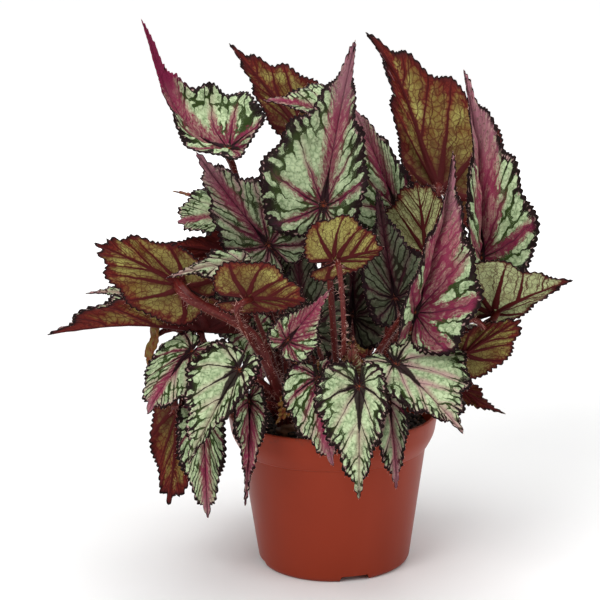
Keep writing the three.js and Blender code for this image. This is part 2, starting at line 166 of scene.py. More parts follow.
class Field:
    """A value in a material's node tree."""

    def __init__(self, paint, socket):
        self.paint = paint
        self.socket = socket

    def __add__(self, other):
        return self.paint.calculate("ADD", self, other)

    def __sub__(self, other):
        return self.paint.calculate("SUBTRACT", self, other)

    def __rsub__(self, other):
        return self.paint.calculate("SUBTRACT", other, self)

    def __mul__(self, other):
        return self.paint.calculate("MULTIPLY", self, other)

    def __abs__(self):
        return self.paint.calculate("ABSOLUTE", self)

    __radd__ = __add__

    def __rtruediv__(self, other):
        return self.paint.calculate("DIVIDE", other, self)

    def root(self):
        return self.paint.calculate("SQRT", self)

    def floor(self):
        return self.paint.calculate("FLOOR", self)

    def least(self, other):
        return self.paint.calculate("MINIMUM", self, other)

    def most(self, other):
        return self.paint.calculate("MAXIMUM", self, other)

    def fraction(self):
        return self.paint.calculate("FRACT", self)

    def sign(self):
        return self.paint.calculate("SIGN", self)

    def between(self, start, end):
        """0 at start and 1 at end, with a smooth passage. The start may be the larger of the two."""
        node = self.paint.node("ShaderNodeMapRange", interpolation_type="SMOOTHSTEP")
        for name, value in (("Value", self), ("From Min", start), ("From Max", end)):
            self.paint.plug(value, node.inputs[name])
        return Field(self.paint, node.outputs["Result"])


class Paint:
    """The node tree of one material, with the textures that its fields are made from."""

    def __init__(self, tree):
        self.tree = tree

    def node(self, kind, **values):
        made = self.tree.nodes.new(kind)
        for name, value in values.items():
            setattr(made, name, value)
        return made

    def plug(self, value, socket):
        if isinstance(value, Field):
            self.tree.links.new(value.socket, socket)
        else:
            socket.default_value = value

    def calculate(self, operation, *values):
        node = self.node("ShaderNodeMath", operation=operation)
        for value, socket in zip(values, node.inputs):
            self.plug(value, socket)
        return Field(self, node.outputs[0])

    def attribute(self, name):
        """The three numbers of a vector that the mesh holds at each vertex."""
        source = self.node("ShaderNodeAttribute", attribute_name=name)
        parts = self.node("ShaderNodeSeparateXYZ")
        self.tree.links.new(source.outputs["Vector"], parts.inputs[0])
        return [Field(self, socket) for socket in parts.outputs]

    def vector(self, x, y, z):
        node = self.node("ShaderNodeCombineXYZ")
        for value, socket in zip((x, y, z), node.inputs):
            self.plug(value, socket)
        return Field(self, node.outputs[0])

    def place(self):
        return Field(self, self.node("ShaderNodeTexCoord").outputs["Object"])

    def place_parts(self):
        parts = self.node("ShaderNodeSeparateXYZ")
        self.plug(self.place(), parts.inputs[0])
        return [Field(self, socket) for socket in parts.outputs]

    def noise(self, at, scale, detail=2.0, roughness=0.5):
        """Cloudy noise from about -0.5 to 0.5."""
        node = self.node("ShaderNodeTexNoise")
        for name, value in (("Vector", at), ("Scale", scale), ("Detail", detail), ("Roughness", roughness)):
            self.plug(value, node.inputs[name])
        return Field(self, node.outputs["Fac"]) - 0.5

    def cells(self, at, scale, feature="F1", output="Distance", randomness=1.0):
        node = self.node("ShaderNodeTexVoronoi", feature=feature)
        for name, value in (("Vector", at), ("Scale", scale), ("Randomness", randomness)):
            self.plug(value, node.inputs[name])
        return Field(self, node.outputs[output])

    def cell_number(self, at, scale):
        """A random number for each cell, from 0 to 1."""
        parts = self.node("ShaderNodeSeparateColor")
        self.plug(self.cells(at, scale, output="Color"), parts.inputs[0])
        return Field(self, parts.outputs[0])

    def chance(self, *values):
        """A random number from 0 to 1 for each set of whole values."""
        node = self.node("ShaderNodeTexWhiteNoise", noise_dimensions="3D")
        self.plug(self.vector(*values), node.inputs["Vector"])
        return Field(self, node.outputs["Value"])

    def mix(self, share, one, other):
        """The first colour where share is 0 and the second where it is 1. A colour may be a plain list."""
        node = self.node("ShaderNodeMix", data_type="RGBA", clamp_factor=True)
        self.plug(share, node.inputs["Factor"])
        for value, socket in ((one, node.inputs[6]), (other, node.inputs[7])):
            self.plug(value if isinstance(value, Field) else (*value, 1), socket)
        return Field(self, node.outputs[2])

    def cover(self, base, *layers):
        """The base colour with each (share, colour) laid over it in turn."""
        for share, over in layers:
            base = self.mix(share, base, over)
        return base


def finish(name, look, bump, depth=MM, **values):
    """A material whose look(paint) gives its colour, roughness, relief and perhaps its own light. The
    values are set on the shader's other sockets."""
    material = bpy.data.materials.new(name)
    material.use_nodes = True
    paint = Paint(material.node_tree)
    shader = material.node_tree.nodes["Principled BSDF"]
    shade, roughness, relief, *light = look(paint)
    paint.plug(shade, shader.inputs["Base Color"])
    paint.plug(roughness, shader.inputs["Roughness"])
    for glow in light:
        paint.plug(glow, shader.inputs["Emission Strength"])
    for socket, value in values.items():
        shader.inputs[socket.replace("_", " ")].default_value = value
    bumps = paint.node("ShaderNodeBump")
    bumps.inputs["Strength"].default_value = bump
    bumps.inputs["Distance"].default_value = depth
    paint.plug(relief, bumps.inputs["Height"])
    material.node_tree.links.new(bumps.outputs[0], shader.inputs["Normal"])
    return material


# Meshes

def new_piece(name, bm, materials, slot, *nodes):
    """A finished piece of the plant: smooth, with its materials, on the part's one body."""
    for face in bm.faces:
        face.smooth = True
    mesh = bpy.data.meshes.new(name)
    bm.to_mesh(mesh)
    bm.free()
    for material in materials:
        mesh.materials.append(material)
    piece = bpy.data.objects.new(name, mesh)
    bpy.context.scene.collection.objects.link(piece)
    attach(piece, "root")
    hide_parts(*nodes)
    return piece


def append(total, part):
    """Adds a finished bmesh to another."""
    mesh = bpy.data.meshes.new("part")
    part.to_mesh(mesh)
    part.free()
    total.from_mesh(mesh)
    bpy.data.meshes.remove(mesh)


def unit_sheet(columns, rows):
    """A flat grid from (0, 0) to (1, 1)."""
    bm = bmesh.new()
    bmesh.ops.create_grid(bm, x_segments=columns, y_segments=rows, size=0.5)
    bmesh.ops.translate(bm, vec=(0.5, 0.5, 0), verts=bm.verts)
    return bm


def lathe(profile, steps):
    """The profile of (radius, height) points, from the axis round to the axis, turned about Z."""
    bm = bmesh.new()
    ring = [bm.verts.new((radius * MM, 0, z * MM)) for radius, z in profile]
    edges = [bm.edges.new(pair) for pair in zip(ring, ring[1:])]
    bmesh.ops.spin(
        bm, geom=ring + edges, axis=(0, 0, 1), angle=2 * math.pi, steps=steps, use_merge=True,
        use_duplicate=False,
    )
    bmesh.ops.remove_doubles(bm, verts=bm.verts, dist=0.001 * MM)
    bmesh.ops.recalc_face_normals(bm, faces=bm.faces)
    return bm


def rounded(corners, steps=5):
    """A profile whose corners (radius, height, blend) are rounded over the blend's length on both sides."""
    points = []
    for k, (radius, z, blend) in enumerate(corners):
        at = Vector((radius, z))
        if not blend:
            points.append(at)
            continue
        before, after = Vector(corners[k - 1][:2]), Vector(corners[k + 1][:2])
        start = at + (before - at).normalized() * blend
        end = at + (after - at).normalized() * blend
        for step in range(steps + 1):
            share = step / steps
            points.append(start.lerp(at, share).lerp(at.lerp(end, share), share))
    return points


def spread(start, end, spacing):
    """Points on a straight line from start to end, the end left out."""
    start, end = Vector(start), Vector(end)
    count = max(1, round((end - start).length / spacing))
    return [start.lerp(end, k / count) for k in range(count)]


def hairs(spots, width):
    """Thin three-sided cones, one for each (foot, direction, length) in millimetres."""
    bm = bmesh.new()
    for foot, direction, size in spots:
        turn = direction.to_track_quat("Z", "Y").to_matrix().to_4x4()
        place = Matrix.Translation((foot + direction * size / 2) * MM) @ turn
        bmesh.ops.create_cone(
            bm, cap_ends=True, segments=3, radius1=width / 2 * MM, radius2=0.01 * MM, depth=size * MM,
            matrix=place,
        )
    return bm


# The pot

COLLAR_FOOT = 68.7  # height where the collar starts
WALL_AT_GROUND = 44.1  # outer radius of the wall, if it went straight down to the ground
FLARE = 0.139  # how much wider the radius gets for each millimetre of height
FLOOR = 2.2  # thickness of the floor
CHANNELS = 4
CHANNEL_TURN = math.radians(-74.6)
CHANNEL_WIDTH = 18.6
CHANNEL_HEIGHT = 3.6
CHANNEL_INNER = 20  # how far from the axis a channel ends
CHANNEL_TAPER = 1.6  # how much narrower its top is, on each side
COVER_TOP = 1.8  # thickness of the plastic over a channel
COVER_SIDES = 2.8  # of both its sides together
COVER_END = 1.5
COVER_OUTER = 2.6  # how far inside the wall's outer face a cover ends
HOLE = 4  # radius of a drain hole
HOLE_AT = 31  # how far it is from the axis
CUTTER = 30  # length of the tool that cuts it, which passes the floor on both sides
CUTTER_AT = 5  # height of the tool's middle


def outer_radius(z):
    return WALL_AT_GROUND + FLARE * z


def pot_profile(rim, height, wall):
    foot = COLLAR_FOOT
    outside = [
        (0, 0, 0),
        (WALL_AT_GROUND - 1.6, 0, 1.6),
        (WALL_AT_GROUND, 2.2, 1.4),
        (outer_radius(foot), foot, 0.5),
        (outer_radius(foot) + 0.9, foot + 0.5, 0.35),
        (rim - 4.0, foot + 3.4, 2.2),
        (rim - 1.5, foot + 8.5, 3),
        (rim, height - 1.6, 1.2),
        (rim - 0.2, height, 0.45),
    ]
    inside = [
        (rim - 2.0, height, 0.45),
        (rim - 2.6, foot + 8, 2.5),
        (rim - 4.9, foot + 3, 1.5),
        (outer_radius(foot) - wall, foot - 2, 1.5),
        (outer_radius(6) - wall, 6, 1.5),
        (WALL_AT_GROUND - 4, FLOOR, 1.2),
        (0, FLOOR, 0),
    ]
    return rounded(outside + inside)


def channel_bars(width, height, inner, outer, bottom):
    """Four radial bars on the pot's floor, slightly narrower at the top."""
    bm = bmesh.new()
    for k in range(CHANNELS):
        made = bmesh.ops.create_cube(bm, size=1)["verts"]
        for vertex in made:
            top = vertex.co.z > 0
            x = outer if vertex.co.x > 0 else inner
            half = width / 2 - (CHANNEL_TAPER if top else 0)
            y = half if vertex.co.y > 0 else -half
            vertex.co = Vector((x, y, height if top else bottom)) * MM
        turn = Matrix.Rotation(CHANNEL_TURN + math.tau * k / CHANNELS, 3, "Z")
        bmesh.ops.rotate(bm, verts=made, matrix=turn)
    return bm


def drain_holes():
    bm = bmesh.new()
    for k in range(CHANNELS):
        turn = Matrix.Rotation(CHANNEL_TURN + math.tau * k / CHANNELS, 4, "Z")
        place = turn @ Matrix.Translation(Vector((HOLE_AT, 0, CUTTER_AT)) * MM)
        bmesh.ops.create_cone(
            bm, cap_ends=True, segments=32, radius1=HOLE * MM, radius2=HOLE * MM, depth=CUTTER * MM,
            matrix=place,
        )
    return bm


def combined(body, changes):
    """The body's bmesh after a boolean with each (operation, bmesh)."""
    helpers = [loose_object("body", body)]
    for operation, part in changes:
        helpers.append(loose_object("tool", part))
        step = helpers[0].modifiers.new(operation, "BOOLEAN")
        step.operation = operation
        step.solver = "MANIFOLD"
        step.object = helpers[-1]
    depsgraph = bpy.context.evaluated_depsgraph_get()
    result = bmesh.new()
    result.from_object(helpers[0], depsgraph)
    for helper in helpers:
        mesh = helper.data
        bpy.data.objects.remove(helper)
        bpy.data.meshes.remove(mesh)
    return result


def loose_object(name, bm):
    mesh = bpy.data.meshes.new(name)
    bm.to_mesh(mesh)
    bm.free()
    made = bpy.data.objects.new(name, mesh)
    bpy.context.scene.collection.objects.link(made)
    return made


DUST = (0.05, 0.03, 0.02)


def plastic(settings):
    """Satin moulded plastic with flow marks, scuffs and a little dust of soil."""
    def look(paint):
        x, y, z = paint.place_parts()
        grain = paint.noise(paint.place(), 900, 3)
        clouds = paint.noise(paint.place(), 18, 4)
        flow = paint.noise(paint.vector(x * 60, y * 60, z * 6), 1, 3)
        scuffs = paint.noise(paint.vector(x * 40, y * 40, z * 700), 1, 4, 0.7).between(0.16, 0.3)
        dust = paint.noise(paint.place(), 140, 5, 0.7).between(0.02, 0.2) * z.between(0.080, 0.0875)
        colours = paint.cover(
            settings.plastic,
            (clouds * 0.9 + 0.25, [c * 0.72 for c in settings.plastic]),
            (scuffs * 0.25 + flow * 0.3, settings.worn),
            (dust * 0.35, DUST),
        )
        roughness = clouds * 0.12 + scuffs * 0.12 + dust * 0.2 + 0.36
        return colours, roughness, grain * 0.5 + flow * 0.5 + scuffs * 0.2
    return finish("pot_plastic", look, bump=0.12, depth=0.4 * MM, Specular_IOR_Level=0.12)


class BEGONIA_OT_pot(bpy.types.Operator):
    """Makes the nursery pot with its collar, drain channels and drain holes"""
    bl_idname = "begonia.pot"
    bl_label = "Nursery Pot"

    def execute(self, context):
        settings = context.scene.begonia_pot
        rim, height, wall = (v / MM for v in (settings.rim_radius, settings.height, settings.wall))
        body = lathe(pot_profile(rim, height, wall), settings.steps)
        covers = channel_bars(
            CHANNEL_WIDTH + COVER_SIDES, CHANNEL_HEIGHT + COVER_TOP, CHANNEL_INNER - COVER_END,
            WALL_AT_GROUND - COVER_OUTER, 1,
        )
        channels = channel_bars(CHANNEL_WIDTH, CHANNEL_HEIGHT, CHANNEL_INNER, rim, -1)
        changes = [("UNION", covers), ("DIFFERENCE", channels), ("DIFFERENCE", drain_holes())]
        piece = new_piece("nursery_pot", combined(body, changes), [plastic(settings)], "pot_plastic", "pot")
        piece.data.set_sharp_from_angle(angle=math.radians(38))
        return {"FINISHED"}


# The soil

SOIL_TOP = 78.5
SOIL_BOTTOM = 5.7
SOIL_STEPS = 110  # steps round the axis
SOIL_RING = 1.4  # between the rings of its surface
MOUNDS = 1.6  # height of the surface's broad rises
LUMPS = 1.1  # and of its lumps
CRUMB_BATCHES = 12  # made one after the other, because it is quicker to add to a small mesh
CRUMB_REACH = 53  # how far from the axis crumbs lie
LARGE_CRUMBS = 0.06  # share of the crumbs that are larger


def soil_height(x, y):
    """How far the surface stands above its mean, in millimetres."""
    broad = noise.noise(Vector((x * 0.045, y * 0.045, 3)))
    lumps = noise.fractal(Vector((x * 0.28, y * 0.28, 8)), 0.8, 2.1, 4)
    return MOUNDS * broad + LUMPS * lumps


def soil_body(wall):
    """The soil's solid body, with its uneven surface."""
    edge = outer_radius(COLLAR_FOOT) + 2.4
    side = [
        Vector((0, SOIL_BOTTOM)),
        Vector((outer_radius(6) - wall - 1.5, SOIL_BOTTOM)),
        Vector((outer_radius(COLLAR_FOOT) - wall - 0.5, COLLAR_FOOT - 2)),
    ]
    top = spread((edge, SOIL_TOP - 1), (0, SOIL_TOP), SOIL_RING) + [Vector((0, SOIL_TOP))]
    bm = lathe(side + top, SOIL_STEPS)
    for vertex in bm.verts:
        x, y, z = vertex.co / MM
        if z > SOIL_TOP - 2:
            vertex.co.z += soil_height(x, y) * MM
    return bm


def soil_crumbs(settings):
    """Loose crumbs, half sunk in the surface, with a few larger ones among them."""
    chance = random.Random(5)
    total = bmesh.new()
    for _ in range(CRUMB_BATCHES):
        bm = bmesh.new()
        for _ in range(settings.crumbs // CRUMB_BATCHES):
            radius = CRUMB_REACH * math.sqrt(chance.random())
            turn = chance.uniform(0, math.tau)
            x, y = radius * math.cos(turn), radius * math.sin(turn)
            size = settings.crumb / MM * chance.uniform(0.35, 1.25)
            size *= 1.7 if chance.random() < LARGE_CRUMBS else 1
            stretch = Matrix.Diagonal((size * chance.uniform(0.6, 1.6), size * 0.6, size * 0.55, 1))
            spin = Matrix.Rotation(chance.uniform(0, math.tau), 4, "Z")
            spin @= Matrix.Rotation(chance.uniform(-0.6, 0.6), 4, "X")
            z = SOIL_TOP + soil_height(x, y) + size * 0.15
            made = bmesh.ops.create_icosphere(bm, subdivisions=1, radius=1)["verts"]
            for vertex in made:
                vertex.co *= chance.uniform(0.75, 1.2)
                vertex.co = (Matrix.Translation((x, y, z)) @ spin @ stretch @ vertex.co) * MM
        append(total, bm)
    return total


def peat(settings):
    """Dark damp peat with drier crumbs."""
    def look(paint):
        at = paint.place()
        lumps = paint.noise(at, 260, 4, 0.65)
        fine = paint.noise(at, 1100, 3, 0.6)
        dry = paint.cell_number(at, 380).between(0.72, 0.95)
        colours = paint.mix(lumps * 1.2 + 0.35, [c * 0.35 for c in settings.peat], settings.peat)
        colours = paint.mix(dry * 0.6, colours, settings.fibre)
        return colours, fine * 0.2 + 0.9, lumps + fine * 0.6
    return finish("potting_soil", look, bump=0.8, depth=0.8 * MM)


class BEGONIA_OT_soil(bpy.types.Operator):
    """Makes the potting soil with its crumbs"""
    bl_idname = "begonia.soil"
    bl_label = "Potting Soil"

    def execute(self, context):
        settings = context.scene.begonia_soil
        bm = soil_body(context.scene.begonia_pot.wall / MM)
        append(bm, soil_crumbs(settings))
        new_piece("potting_soil", bm, [peat(settings)], "potting_soil", "soil")
        return {"FINISHED"}


# The table of leaves

@dataclass
class Look:
    """How a leaf is coloured. Each number is a share of the common look."""
    flush: float = 0.7  # the bright zone along the veins
    core: float = 0.8  # the dark star round the joint
    silver: float = 0.9  # how far out the pale zone reaches
    warm: float = 0.2  # how much the pale zone blushes
    painted_shade: float = 0.0  # painted shade: how far the whole blade is darkened towards the core colour
    red: float = 0.4  # how red the underside is. Below 0 it is pale
    dry: float = 0.0  # how brown and withered both sides are
    tail: float = 0.0  # how brown the drawn-out tip is


SILVER = Look()
MINT = Look(flush=0.15, core=1.3, silver=1.08, warm=0.35)
BRIGHT = Look(flush=1.2, silver=0.8)
# darker leaves with little silver, plus painted shade over the whole blade, for leaves in the shade inside
# the plant
DARK_WITH_PAINTED_SHADE = Look(flush=0.6, silver=0.2, warm=0.5, painted_shade=1.3)


@dataclass
class Leaf:
    """One leaf. The joint is where the stalk meets the blade, and the tip is the end of the blade. Places
    are in millimetres and angles in degrees."""
    shoot: str
    joint: tuple
    tip: tuple
    facing: tuple  # the way that the upper side looks
    look: Look
    breadth: float = 1  # as a share of the common one
    wide: int = 1  # the side of the larger half: 1 is right and -1 is left, from above with the tip up
    narrow: float = 0.78  # the smaller half's breadth, as a share of the larger one's
    fold: float = 12  # how far both halves are lifted at the midrib
    curl: float = -18  # how far they bend further towards the margins
    rise: float = 10  # how the midrib is bent at the joint
    droop: float = 12  # and at the tip
    sweep: float = 0  # how it is bent sideways at the tip
    wave: float = 0.02  # height of the margin's broad waves, as a share of the length
    stalk: float = 1.7  # the stalk's radius, which is less on a small leaf
    arrive: float = 0.7  # how much the stalk meets the blade in line with the midrib
    small: bool = False
    lobe: float = 1  # how far the blade reaches back behind the joint, as a share of the common reach
    point: float = 0.435  # the share of the length that is drawn out into a tip
    taper: float = 8  # how wide that tip is
    grip: float = 0.36  # how far the midrib's bends reach in from its ends, as a share of its length
    via: tuple = ()  # points that the stalk passes through


LEAVES = [
    # Upper front, from left to right
    Leaf("left", (-56, -12, 242), (-99, -30, 313.5), (0.14, -0.52, 0.9),
         Look(flush=1.4, silver=0.8, tail=1), rise=-60, droop=-26, grip=0.42, fold=22, curl=-10,
         breadth=1.14, narrow=0.5, taper=4.5, sweep=-16, lobe=0.25),
    Leaf("back", (-16, 26, 247), (-58, 42, 297), (-0.2, 0.9, 0.3), Look(red=0.3), wide=-1, breadth=0.68,
         taper=9, point=0.3, narrow=0.5),
    Leaf("middle", (-4, -45, 215), (14, -18, 302), (-0.1, -0.95, 0.3),
         Look(flush=0.95, silver=0.85, painted_shade=0.45), wide=-1, narrow=0.6, lobe=0.7, breadth=0.93),
    Leaf("back", (3, 10, 258), (-37, 0, 268), (0, -0.6, 0.8), SILVER, small=True, breadth=1.3),
    Leaf("right", (37, -4, 206), (11, 8, 267), (0.1, -0.9, 0.4), Look(flush=0.9, silver=0.25, painted_shade=0.3),
         breadth=0.72, narrow=0.5, wide=-1, lobe=0.5, point=0.3, taper=12),
    Leaf("backRight", (63, 25, 212), (21, 50, 302), (-0.1, 0.95, 0.2), Look(red=0.35), breadth=0.8,
         narrow=0.33, wide=-1, lobe=0.8, taper=9, point=0.3, sweep=22),
    Leaf("right", (84, -8, 179), (75, 0, 284), (0.42, -0.9, 0.15), Look(flush=1.8, silver=0.48), fold=45,
         curl=-16, breadth=0.62, lobe=0.7, point=0.38, taper=11),
    Leaf("middle", (44, -62, 160), (65, -40, 243), (0.5, -0.82, 0.25),
         Look(flush=2.5, silver=0.45, painted_shade=0.2), fold=48, curl=-16, breadth=0.85, lobe=0.8),
    Leaf("right", (35, -30, 161), (25, -20, 221), (-0.1, -0.95, 0.2), DARK_WITH_PAINTED_SHADE, small=True, breadth=0.85),
    Leaf("right", (52, -21, 184), (47, -19, 224), (0.3, 0.9, 0.2), Look(red=-0.3), small=True, breadth=0.95,
         lobe=0.5, point=0.1, taper=20),
    Leaf("right", (88, -40, 153), (125, -78, 179), (-0.2, 0.95, 0.15), Look(red=-0.4), breadth=1.25,
         lobe=1.2, point=0.3, taper=9, narrow=0.25,
         via=((36, -28, 138), (46, -46, 148), (62, -57, 152), (76, -55, 154))),
    Leaf("right", (72, -44, 132), (101, -58, 154), (0.1, 0.95, 0.2), Look(red=0.15), small=True,
         breadth=0.66, lobe=0.4, wide=-1, narrow=0.6, point=0.15, taper=15),
    # Lower front, from right to left
    Leaf("middle", (34, -60, 131), (67, -98, 103), (0.25, -0.75, 0.6),
         Look(flush=0.2, core=1.3, silver=1, warm=0.75), wide=-1, breadth=1.05,
         narrow=0.6, lobe=0.4, point=0.25, taper=9),
    Leaf("right", (68, -50, 116), (93, -62, 103), (0, 0.5, -0.8), Look(red=0.8, dry=0.5), small=True,
         breadth=0.72, lobe=0.4),
    Leaf("middle", (14, -82, 125), (13, -108, 72), (0, -0.8, 0.6), MINT, narrow=0.65, breadth=0.88,
         lobe=0.7, point=0.4, taper=14),
    Leaf("middle", (-7, -72, 127), (0, -84, 82), (-0.35, -0.8, 0.4),
         Look(flush=1.1, core=1.3, silver=0.65, warm=0.7), narrow=0.5, breadth=0.84, point=0.3, lobe=0.3,
         taper=16),
    Leaf("middle", (30, -58, 110), (34, -70, 64), (0.3, -0.9, 0.3),
         Look(flush=0.5, silver=1.3, warm=0.9, painted_shade=0.3), small=True, breadth=0.75, point=0.4, lobe=0.4,
         narrow=0.6, taper=14),
    Leaf("left", (-49, -76, 133), (-75, -100, 89), (-0.2, -0.8, 0.55), MINT, narrow=0.45, lobe=0.6,
         point=0.4, taper=12),
    Leaf("left", (-76, -52, 137), (-99, -74, 109), (-0.5, -0.7, 0.4),
         Look(flush=0.9, core=1.2, silver=0.6, warm=0.5), small=True, wide=-1, breadth=1.2, narrow=0.6,
         point=0.2, lobe=0.4, taper=14),
    Leaf("left", (-97, -25, 142), (-102, -32, 103), (-0.9, -0.3, 0.3), Look(dry=0.9, painted_shade=0.6), small=True,
         breadth=0.6),
    Leaf("left", (-86, -36, 100), (-92, -46, 48), (0.2, 0.9, 0), Look(red=0.4), small=True, breadth=0.6,
         point=0.2, lobe=0.5, via=((-64, -48, 108),), taper=20),
    Leaf("left", (-70, -58, 99), (-68, -70, 49), (0, -0.9, 0.2), Look(silver=0.65), small=True, breadth=0.55,
         point=0.3, lobe=0.6, taper=18),
    Leaf("left", (-45, -64, 112), (-47, -84, 60), (0.25, -0.95, 0.1), Look(flush=1.4, silver=0.9),
         small=True, breadth=0.6, fold=45, lobe=0.4),
    # Left side and middle
    Leaf("left", (-79, -62, 175), (-122, -82, 203), (-0.2, 0.9, 0.3), Look(red=0.2), breadth=0.66,
         narrow=0.72, point=0.15, stalk=2.8, via=((-34, -50, 125), (-44, -62, 150)), lobe=0.5),
    Leaf("left", (-70, -28, 142), (-154, -50, 148), (0, -0.1, 1), Look(warm=0.5, core=1.2, red=0.55),
         fold=62, curl=-16, breadth=0.68, wide=-1, point=0.3, lobe=0.5, taper=12),
    Leaf("left", (-104, 0, 156), (-141, 5, 158), (0, -0.5, 0.8), Look(flush=0.3, silver=1.2, warm=1),
         small=True, breadth=0.6),
    Leaf("left", (-34, -34, 192), (-72, -34, 243), (-0.35, -0.85, 0.35),
         Look(flush=0.9, silver=0.5, warm=0.9, painted_shade=0.8), point=0.35, breadth=0.83, lobe=0.8, taper=12),
    Leaf("left", (-54, 8, 201), (-86, -5, 200), (0, -0.65, 0.75), SILVER, small=True, breadth=1.0,
         point=0.1, taper=20),
    Leaf("back", (-60, 30, 199), (-93, 40, 212), (0, -0.3, 0.9), Look(dry=0.7), small=True, breadth=0.6),
    Leaf("middle", (2, -90, 193), (27, -88, 199), (0.1, 0.85, 0.2), Look(red=0.0), breadth=1.5, small=True,
         point=0.15, taper=15, lobe=1.3, narrow=0.35, via=((6, -90, 162),), arrive=0.2),
    Leaf("middle", (-23, -80, 150), (0, -92, 180), (0.3, -0.8, 0.5), Look(flush=1.5, silver=0.8),
         small=True, breadth=0.9, via=((-12, -48, 146),)),
    Leaf("left", (-43, -86, 173), (-13, -98, 174), (0, 0.95, 0.2), Look(red=0.25), breadth=1.0, lobe=1.3,
         point=0.15, narrow=0.4, small=True, taper=15),
    Leaf("middle", (9.5, -68, 130.5), (11, -72, 150), (0, -0.9, 0.2), Look(dry=0.5, flush=0.9), small=True,
         breadth=0.8),
    Leaf("left", (-48, -60, 187), (-85, -86, 184), (-0.2, -0.75, 0.65),
         Look(flush=0.2, silver=1.3, warm=0.7, painted_shade=0.3), small=True, breadth=0.9, lobe=0.6, wide=-1,
         narrow=0.6),
    Leaf("right", (54, -34, 149), (66, -38, 133), (0.2, -0.9, 0.4), DARK_WITH_PAINTED_SHADE, small=True, lobe=0.5,
         breadth=0.8),
    # In the shade within, and at the back
    Leaf("back", (-16, -8, 140), (-20, 0, 205), (-0.1, -0.95, 0.2), DARK_WITH_PAINTED_SHADE, narrow=0.5, breadth=0.9,
         lobe=1.2),
    Leaf("back", (12, 30, 138), (14, 40, 222), (0, -0.9, 0.3), DARK_WITH_PAINTED_SHADE, breadth=0.85, lobe=0.9),
    Leaf("backRight", (60, 36, 150), (76, 40, 212), (0.1, -0.9, 0.3), DARK_WITH_PAINTED_SHADE, lobe=0.5, small=True),
    Leaf("back", (12, 78, 130), (15, 107, 76), (0, 0.8, 0.6), SILVER, breadth=1.45, narrow=0.6),
    Leaf("back", (-42, 62, 133), (-65, 97, 86), (-0.3, 0.75, 0.6), MINT, breadth=1.15),
    Leaf("backRight", (37, 68, 126), (60, 100, 80), (0.3, 0.75, 0.6), BRIGHT, breadth=1.2, small=True),
    Leaf("back", (-62, 50, 168), (-84, 92, 170), (-0.3, 0.5, 0.8), BRIGHT),
    Leaf("back", (-12, 72, 185), (-6, 118, 214), (0, 0.5, 0.85), SILVER),
    Leaf("backRight", (56, 60, 172), (88, 96, 176), (0.3, 0.45, 0.85), SILVER),
    Leaf("backRight", (79, 27, 131), (100, 62, 112), (0.6, 0.3, 0.75), MINT, small=True, lobe=0.5),
    Leaf("left", (-84, 26, 128), (-112, 44, 104), (-0.6, 0.3, 0.75), SILVER, small=True),
    Leaf("back", (-31, 46, 150), (-35, 52, 198), (0, -0.9, 0.3), DARK_WITH_PAINTED_SHADE, small=True),
    Leaf("backRight", (27, 52, 158), (23, 58, 205), (0, -0.9, 0.3), DARK_WITH_PAINTED_SHADE, small=True),
    Leaf("left", (-58, 18, 138), (-67, 20, 178), (-0.3, -0.9, 0.3), DARK_WITH_PAINTED_SHADE, small=True),
    Leaf("left", (-44, -16, 140), (-40, -24, 103), (0.2, -0.9, 0.3), SILVER, small=True),
    Leaf("left", (-52, -21, 184), (-93, -36, 193), (0, 0.9, 0.3), Look(red=0.9), small=True, lobe=0.6,
         via=((-31, -3, 142),)),
    Leaf("back", (-17, 76, 115), (-24, 103, 71), (0, 0.8, 0.6), SILVER, small=True, breadth=0.85,
         point=0.2, taper=12, via=((-12, 55, 100),)),
    # A small dry one over the soil
    Leaf("left", (-22, -57, 109), (-31, -62, 99), (0.3, -0.8, 0.5), Look(dry=1, painted_shade=0.4), small=True,
         breadth=1.2, fold=30, stalk=1.4),
]
# where each shoot stands, and how its foot is turned in degrees
SHOOTS = {
    "left": ((-24, -8), 60),
    "middle": ((4, -20), 5),
    "right": ((27, -3), 100),
    "backRight": ((20, 24), 150),
    "back": ((-14, 20), 30),
}


def leaf_name(leaf):
    return f"leaf_{LEAVES.index(leaf) + 1:02d}"


# The blade's form

NARROWING = 0.27  # how much less the blade reaches at its back than in front
# angles from the midrib at which the margin stands out and in by turns
LOBE_ANGLES = (0, 4, 11, 21, 34, 50, 68, 90, 114, 142, 170)
SMALL_LOBE_ANGLES = (0, 5, 14, 30, 52, 80, 112, 145, 171)
LOBE_DEPTH = 0.045  # as a share of the reach
COMMON_BREADTH = 0.95  # how far the larger half of a common blade is stretched across
CURL_REACH = 0.42  # how far from the midrib the whole curl is reached, as a share of the length
TOOTH_SPACING = 3.3
TOOTH_LEVEL = 0.6  # where the plain outline passes a tooth, from 0 at its foot to 1 at its top
PLAIN_TIP = 4  # how far from the tip the teeth reach their depth
RUFFLE = 1.1  # height of the fine ruffles at the margin
BUMPS = 0.55  # height of the uneven bumps all over
SUNK_RIB = 0.5  # how deep the midrib is sunk
EVEN_RIB = 6  # how far from the midrib the ruffles reach their height
# the next six are shares of the midrib's length
EVEN_MARGIN = 0.05  # how far from the margin the puckers and bumps reach their height
EVEN_JOINT = 0.07  # and how far from the joint
PUCKER_WIDTH = 0.12  # how far apart veins are where the puckers between them reach their height
PUCKER_LENGTH = 0.14  # of one pucker along its vein
RIB_BED = 0.05  # how far from the midrib the puckers start at their height
RIB_GROOVE = 0.03  # half the width of the midrib's groove
SPOKES, SPOKES_EACH_MM = 100, 2.9  # of a blade's sheet: the least number, and more with its length
RINGS, RINGS_EACH_MM = 7, 0.1
CROWDING = 0.85  # below 1, rings lie closer towards the margin
LAST_IN_FRONT = 35  # the leaves after it are at the back, in the shade or small, and have fewer faces
DETAIL_BEHIND = 0.7
CLEFT_START = 0.25  # behind the joint, the margin runs in along the last spokes to this share of them
BLADE_THICKNESS = 0.8  # of the solids
GAP = 0.3  # between the solids


